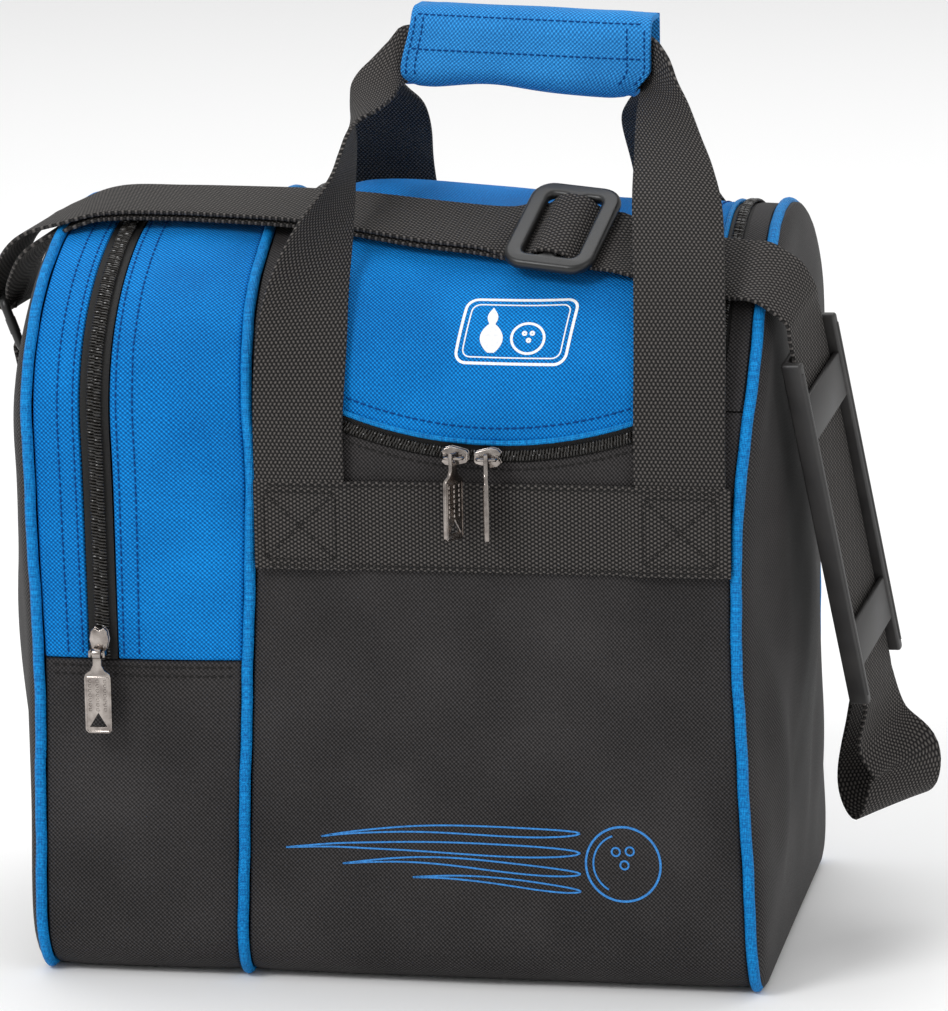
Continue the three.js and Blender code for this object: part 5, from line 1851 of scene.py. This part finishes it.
GLIDE_HALF_LENGTH = 21
GLIDE_HALF_WIDTH = 27.5
GLIDE_THICK = 5
GLIDE_LIFT = 10.9
SLOT_NEAR, SLOT_FAR, SLOT_HALF = 2.6, 12.6, 19.6


def tri_glide():
    """The strap's sliding buckle: a thick rounded frame with a middle bar."""
    at, along, across, out = buckle_frame()
    sides = (-GLIDE_HALF_WIDTH, GLIDE_HALF_WIDTH)
    outline = rounded_rectangle(-GLIDE_HALF_LENGTH, GLIDE_HALF_LENGTH, *sides, 10, 7)
    slots = [
        rounded_rectangle(near, far, -SLOT_HALF, SLOT_HALF, 3)
        for near, far in ((SLOT_NEAR, SLOT_FAR), (-SLOT_FAR, -SLOT_NEAR))
    ]
    bar_end = SLOT_HALF + 0.9
    parts = [plate(outline, slots, GLIDE_THICK, 2.2, 4)]
    parts.append(rod([(0, -bar_end, 0.1), (0, bar_end, 0.1)], 2.0))
    place = frame_matrix(at + out * GLIDE_LIFT, along, across, out)
    assembled("tri_glide_buckle", parts, "plastic", "lid", ["triglide"], place)


def strap_ring(name, node, foot, head):
    """A moulded rectangular loop of round bar."""
    foot, head = np.array([foot[0], 0, foot[1]]), np.array([head[0], 0, head[1]])
    length = np.linalg.norm(head - foot)
    up = (head - foot) / length
    half = STRAP_WIDTH / 2 + 2 + RING_BAR / 2
    path = [(y, v, 0) for y, v in rounded_rectangle(-half, half, 0, length, 4.0, 6)]
    thick = rod(path, RING_BAR / 2 - 0.05, 14, closed=True)
    ridge = RING_BAR / 2 + 0.25
    ridges = [rod([(y, length * 0.35, 0), (y, length * 0.65, 0)], ridge) for y in (-half, half)]
    place = frame_matrix(foot, np.array([0, 1.0, 0]), up, np.cross([0, 1.0, 0], up))
    assembled(name, [thick, *ridges], "plastic", node, [node], place)


def shoulder_pad():
    """The sliding pad: a ribbed back, two long side rails and a bridge near each end."""
    at, along, across, out = pad_frame()
    parts = [rounded_box(-PAD_HALF, PAD_HALF, -24.6, 24.6, -2.4, 0, 0.9)]
    for side_of in (-1, 1):
        outline = rounded_rectangle(-PAD_HALF, PAD_HALF, -2.3, 2.3, 2.0)
        rail, faces = plate(outline, [], 9.2, 1.1, 3)
        parts.append((rail + [0, side_of * 22.7, 2.3], faces))
        crest = [(x, side_of * 23.6, 6.7) for x in (-PAD_HALF + 5, PAD_HALF - 5)]
        parts.append(rod(crest, 0.75, 8))
    for u in (-58, 58):
        parts.append(rounded_box(u - 11, u + 11, -23.8, 23.8, 3.7, 6.2, 0.9))
    for k in range(-9, 10):
        parts.append(rounded_box(k * 9 - 1.2, k * 9 + 1.2, -19, 19, -3.1, -2.2, 0.35, 1))
    place = frame_matrix(at, along, across, out)
    pad = assembled("shoulder_pad_moulding", parts, "pad_plastic", "shoulder_pad", ["shoulder_pad"], place)
    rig.padded(pad, fill=1.0)


PULL_LENGTH = 36
PULL_HALF = 6.1
SLIDER_Y = -(HALF_DEPTH + 4.5)
BAIL_DEPTH = 6.7


def pull_parts(neck_top, neck_half, eye):
    """A flat pull in (x, y) with studs on both faces: y runs up and the pivot is the origin."""
    end = -PULL_LENGTH
    right = [
        (PULL_HALF - 1.4, end), (PULL_HALF, end + 1.4), (PULL_HALF, -10.6), (PULL_HALF - 0.6, -9),
        (neck_half + 1.2, -7.4), (neck_half, -5), (neck_half, neck_top),
    ]
    outline = [(-x, y) for x, y in reversed(right)] + right
    holes = [[(0, end + 9.2), (3.9, end + 3), (-3.9, end + 3)]]
    if eye:
        holes.append(round_points(0, 0, 1.5, 14))
    parts = [plate(outline, holes, 1.8, 0.35)]
    for row in range(7):
        for column in (-3.4, 0, 3.4):
            for face in (1, -1):
                parts.append(dome(column, -12.2 - row * 2.15, 0.86 * face, 0.95, 0.42 * face))
    rim = rounded_rectangle(-PULL_HALF + 0.9, PULL_HALF - 0.9, end + 1.0, -10.4, 0.8, 3)
    for face in (1, -1):
        parts.append(rod([(x, y, 0.85 * face) for x, y in rim], 0.28, 6, closed=True))
    return parts


def facing_out(at, turn):
    """A frame with x to the right, y up and z forwards from the bag, turned about the vertical."""
    a = math.radians(turn)
    return frame_matrix(at, (math.cos(a), math.sin(a), 0), (0, 0, 1), (math.sin(a), -math.cos(a), 0))


def slider_body(length, shoulder, under=1.9):
    """A slider lying in (x, y) with its zip along x: a crowned shield above and a plain one below."""
    wide, narrow = 4.5, 2.3
    near = [
        (-length / 2, narrow * 0.8), (-length / 2 + 0.8, narrow + 0.5), (shoulder, wide),
        (length / 2 - 1.6, wide - 0.7), (length / 2, wide - 2.2),
    ]
    shield = near + [(length / 2 - 1.4, 0.0)] + [(x, -y) for x, y in reversed(near)]
    upper, faces = plate(shield, [], 1.5, 0.6, 3)
    upper = upper + [0, 0, 1.2]
    upper[:, 2] += 0.35 * (1 - (upper[:, 1] / wide) ** 2)
    lower, lower_faces = plate(shield, [], 1.1, 0.35)
    post = rounded_box(length / 2 - 5, length / 2 - 2.6, -0.8, 0.8, 0.3 - under, 1.4, 0.3)
    return [(upper, faces), (lower + [0, 0, -under], lower_faces), post]


def main_slider(name, x, z, flip, pull_turn):
    """A slider of the lid's zip with its bail, and the pull that hangs from it."""
    left = [(-4.1, 0, 1.0), (-4.2, 0, 3.6), (-4.0, 0, 5.5), (-3.0, 0, 6.6), (-1.2, 0, 6.7)]
    bail = left + [(-across, forth, up) for across, forth, up in reversed(left)]
    parts = slider_body(12, 1.5) + [rod(curve_through(bail, 4), 0.72, 10)]
    for end in (-4.1, 4.1):
        parts.append(rounded_box(end - 1.0, end + 1.0, -1.5, 1.5, 0.8, 2.8, 0.45))
    base = facing_out((x, SLIDER_Y, z), 0)
    if flip:
        base = base @ np.diag([-1.0, -1.0, 1.0, 1.0])
    assembled(f"{name}_body", parts, "nickel", name, [name], base)
    pull = name.replace("slider", "pull")
    hang = facing_out((x, SLIDER_Y - BAIL_DEPTH, z), pull_turn)
    assembled(f"{pull}_plate", pull_parts(2.5, 2.0, True), "nickel", pull, [pull], hang)


def shoe_slider():
    """The shoe zip's slider, which lies upright, and its pull on a barrel."""
    at = (SHOE_ZIP_X + 1.1, SLIDER_Y, side("shoe_slider", 2, 0) + 2)
    turn = np.array([[0, 1, 0], [-1, 0, 0], [0, 0, 1.0]])
    parts = []
    for p, f in slider_body(13, 1.0, 1.05):
        parts.append((p @ turn + [0, 4.5, 0], f))
    for end in (-3.2, 3.2):
        parts.append(rounded_box(end - 0.65, end + 0.65, -1.6, 1.6, 0.8, 7.0, 0.5))
    parts.append(rod([(-3.8, 0, 5.9), (3.8, 0, 5.9)], 0.8))
    assembled("shoe_slider_body", parts, "nickel", "shoe_slider", ["shoe_slider"], facing_out(at, 0))
    barrel, faces = plate(round_points(0, 0, 2.3, 24), [round_points(0, 0, 1.2, 16)], 3.9, 0.3)
    pull = pull_parts(-1.7, 2.0, False) + [(barrel[:, [2, 1, 0]] * [1, 1, -1], faces)]
    pivot = (at[0], SLIDER_Y - 5.9, at[2])
    assembled("shoe_pull_plate", pull, "nickel", "shoe_pull", ["shoe_pull"], facing_out(pivot, 0))


def zip_sliders():
    """The lid's two sliders, side by side at the bottom of its curve, and the shoe zip's one."""
    radius = EDGE_RADIUS + ZIP_MIDDLE
    for name, offset, flip, turn in (("slider_left", -14, True, 62), ("slider_right", 0.5, False, -78)):
        z = EDGE_BOTTOM + EDGE_RADIUS - math.sqrt(radius**2 - offset**2)
        main_slider(name, BALL_MIDDLE + offset, z, flip, turn)
    shoe_slider()


BALL_RADIUS = 108
CUP_RADIUS = 98
CUP_FLOOR = 6
CUP_LIP = 2.5
CUP_SIDES = 96


def foam_cup():
    """The moulded ring of foam that the ball sits in."""
    low = side("foam_ball_cup", 2, 0)
    high = side("foam_ball_cup", 2, 1)
    ball_z = low + CUP_FLOOR + BALL_RADIUS
    rim = math.sqrt(BALL_RADIUS**2 - (ball_z - high) ** 2)
    lip = CUP_LIP
    edge = CUP_RADIUS - lip
    quarter = np.linspace(0, math.pi / 2, 6)
    section = [(0.5, low), (edge, low)]
    section += [(edge + lip * math.sin(a), low + lip - lip * math.cos(a)) for a in quarter]
    section += [(edge + lip * math.cos(a), high - lip + lip * math.sin(a)) for a in quarter]
    for r in np.linspace(rim - 1.5, 0.5, 26):
        section.append((r, ball_z - math.sqrt(BALL_RADIUS**2 - r * r)))
    angle = np.arange(CUP_SIDES) * 2 * math.pi / CUP_SIDES
    rings = [[(BALL_MIDDLE + r * math.cos(a), r * math.sin(a), z) for a in angle] for r, z in section]
    faces = grid_faces(len(section), CUP_SIDES, wrap_columns=True)
    faces.append(tuple(range(CUP_SIDES)))
    faces.append(tuple((len(section) - 1) * CUP_SIDES + j for j in reversed(range(CUP_SIDES))))
    points = np.array(rings).reshape(-1, 3)
    cup = build("foam_cup", points, outward(points, faces), "foam", "root", nodes=["foam_ball_cup"])
    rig.padded(cup, fill=1.0)


def boards():
    """The stiffener boards keep their CAD solids, with eased edges."""
    for node in ("ball_board", "shoe_board"):
        piece = frame["nodes"][node]
        piece.data.materials.clear()
        piece.data.materials.append(LOOKS["board"])
        edge = piece.modifiers.new("edge", "BEVEL")
        edge.width = 0.0008
        edge.segments = 2


# ---- camera, light and floor ----

CAMERA_AT = (0.44219, -2.28105, 0.66382)
CAMERA_TURN = (10.573, 11.433, -0.968)  # to the left, down, and over to one side
CAMERA_LENS = 183.4


def camera():
    """The viewing place: above and a little to the right, looking down and to the left."""
    data = bpy.data.cameras.new("camera")
    data.lens = CAMERA_LENS
    data.clip_end = 50
    thing = bpy.data.objects.new("camera", data)
    bpy.context.scene.collection.objects.link(thing)
    yaw, pitch, roll = (math.radians(turn) for turn in CAMERA_TURN)
    forward = Vector((-math.sin(yaw) * math.cos(pitch), math.cos(yaw) * math.cos(pitch), -math.sin(pitch)))
    right = Vector((math.cos(yaw), math.sin(yaw), 0))
    up = right.cross(forward)
    right, up = (
        right * math.cos(roll) + up * math.sin(roll),
        up * math.cos(roll) - right * math.sin(roll),
    )
    matrix = Matrix((right, up, -forward)).transposed().to_4x4()
    matrix.translation = Vector(CAMERA_AT)
    thing.matrix_world = matrix
    bpy.context.scene.camera = thing


LIGHTS = [  # name, place, what it faces, size and power
    ("key", (-1.1, -1.6, 1.8), (0, 0, 0.2), 0.9, 24),
    ("fill", (1.7, -1.3, 1.0), (0, 0, 0.2), 1.4, 4),
    ("top", (0, 1.5, 4), (0, 0.8, 0), 4, 80),
]
WORLD_STRENGTH = 0.68
FLOOR_HALF = 6.0
FLOOR_Z = -0.0004


def area_light(name, at, towards, size, power):
    """A round soft light that faces a place."""
    data = bpy.data.lights.new(name, "AREA")
    data.shape = "DISK"
    data.size = size
    data.energy = power
    thing = bpy.data.objects.new(name, data)
    bpy.context.scene.collection.objects.link(thing)
    thing.location = at
    thing.rotation_mode = "QUATERNION"
    thing.rotation_quaternion = (Vector(towards) - Vector(at)).to_track_quat("-Z", "Y")


def studio():
    """White surroundings, three soft lights and a pale floor that isn't part of the bag."""
    world = bpy.data.worlds.new("studio")
    bpy.context.scene.world = world
    world.use_nodes = True
    background = world.node_tree.nodes["Background"]
    background.inputs["Color"].default_value = (1, 1, 1, 1)
    background.inputs["Strength"].default_value = WORLD_STRENGTH
    for light in LIGHTS:
        area_light(*light)
    mesh = bpy.data.meshes.new("floor")
    corners = [(-1, -1), (1, -1), (1, 1), (-1, 1)]
    mesh.from_pydata([(x * FLOOR_HALF, y * FLOOR_HALF, FLOOR_Z) for x, y in corners], [], [(0, 1, 2, 3)])
    floor = bpy.data.objects.new("floor", mesh)
    bpy.context.scene.collection.objects.link(floor)
    nodes = Nodes("floor")
    mesh.materials.append(nodes.finish((0.94, 0.94, 0.94, 1), Roughness=0.8))
    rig.stage(floor)
    bpy.context.scene.view_settings.view_transform = "Standard"


camera()
studio()
boards()
foam_cup()
base()
divider()
ball_front()
gusset("gusset_left", -1)
gusset("gusset_right", 1)
shoe_side()
lid()
end_panel("left_end_shell", "left_end_panel", -1, 19, [
    (-60, 60, -90, 200, 16, 2.0), (40, 50, 60, 160, 14, -2.0),
], 2.0)
end_panel("right_end_shell", "right_end_panel", 1, 7, [
    (-70, 40, -95, 150, 14, 2.2), (30, 40, 70, 160, 16, -2.0),
], 5.0)
piping("left_piping", "piping_left", LEFT, True)
piping("middle_piping", "piping_middle", DIVIDE, False)
piping("right_piping", "piping_right", RIGHT, True)
lid_welt()
hinge_binding()
zips()
topstitching()
lid_emblem()
front_flourish()
bands()
handles()
grip()
strap_left()
tri_glide()
strap_right()
strap_ring("left_strap_ring", "ring_left", LEFT_FOOT, LEFT_HEAD)
strap_ring("right_strap_ring", "ring_right", RIGHT_FOOT, RIGHT_HEAD)
ring_tabs()
shoulder_pad()
zip_sliders()

lowest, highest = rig.bounds()
with open("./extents.json", "w") as file:
    json.dump({"cad": [list(cad_lowest), list(cad_highest)], "visual": [list(lowest), list(highest)]}, file)
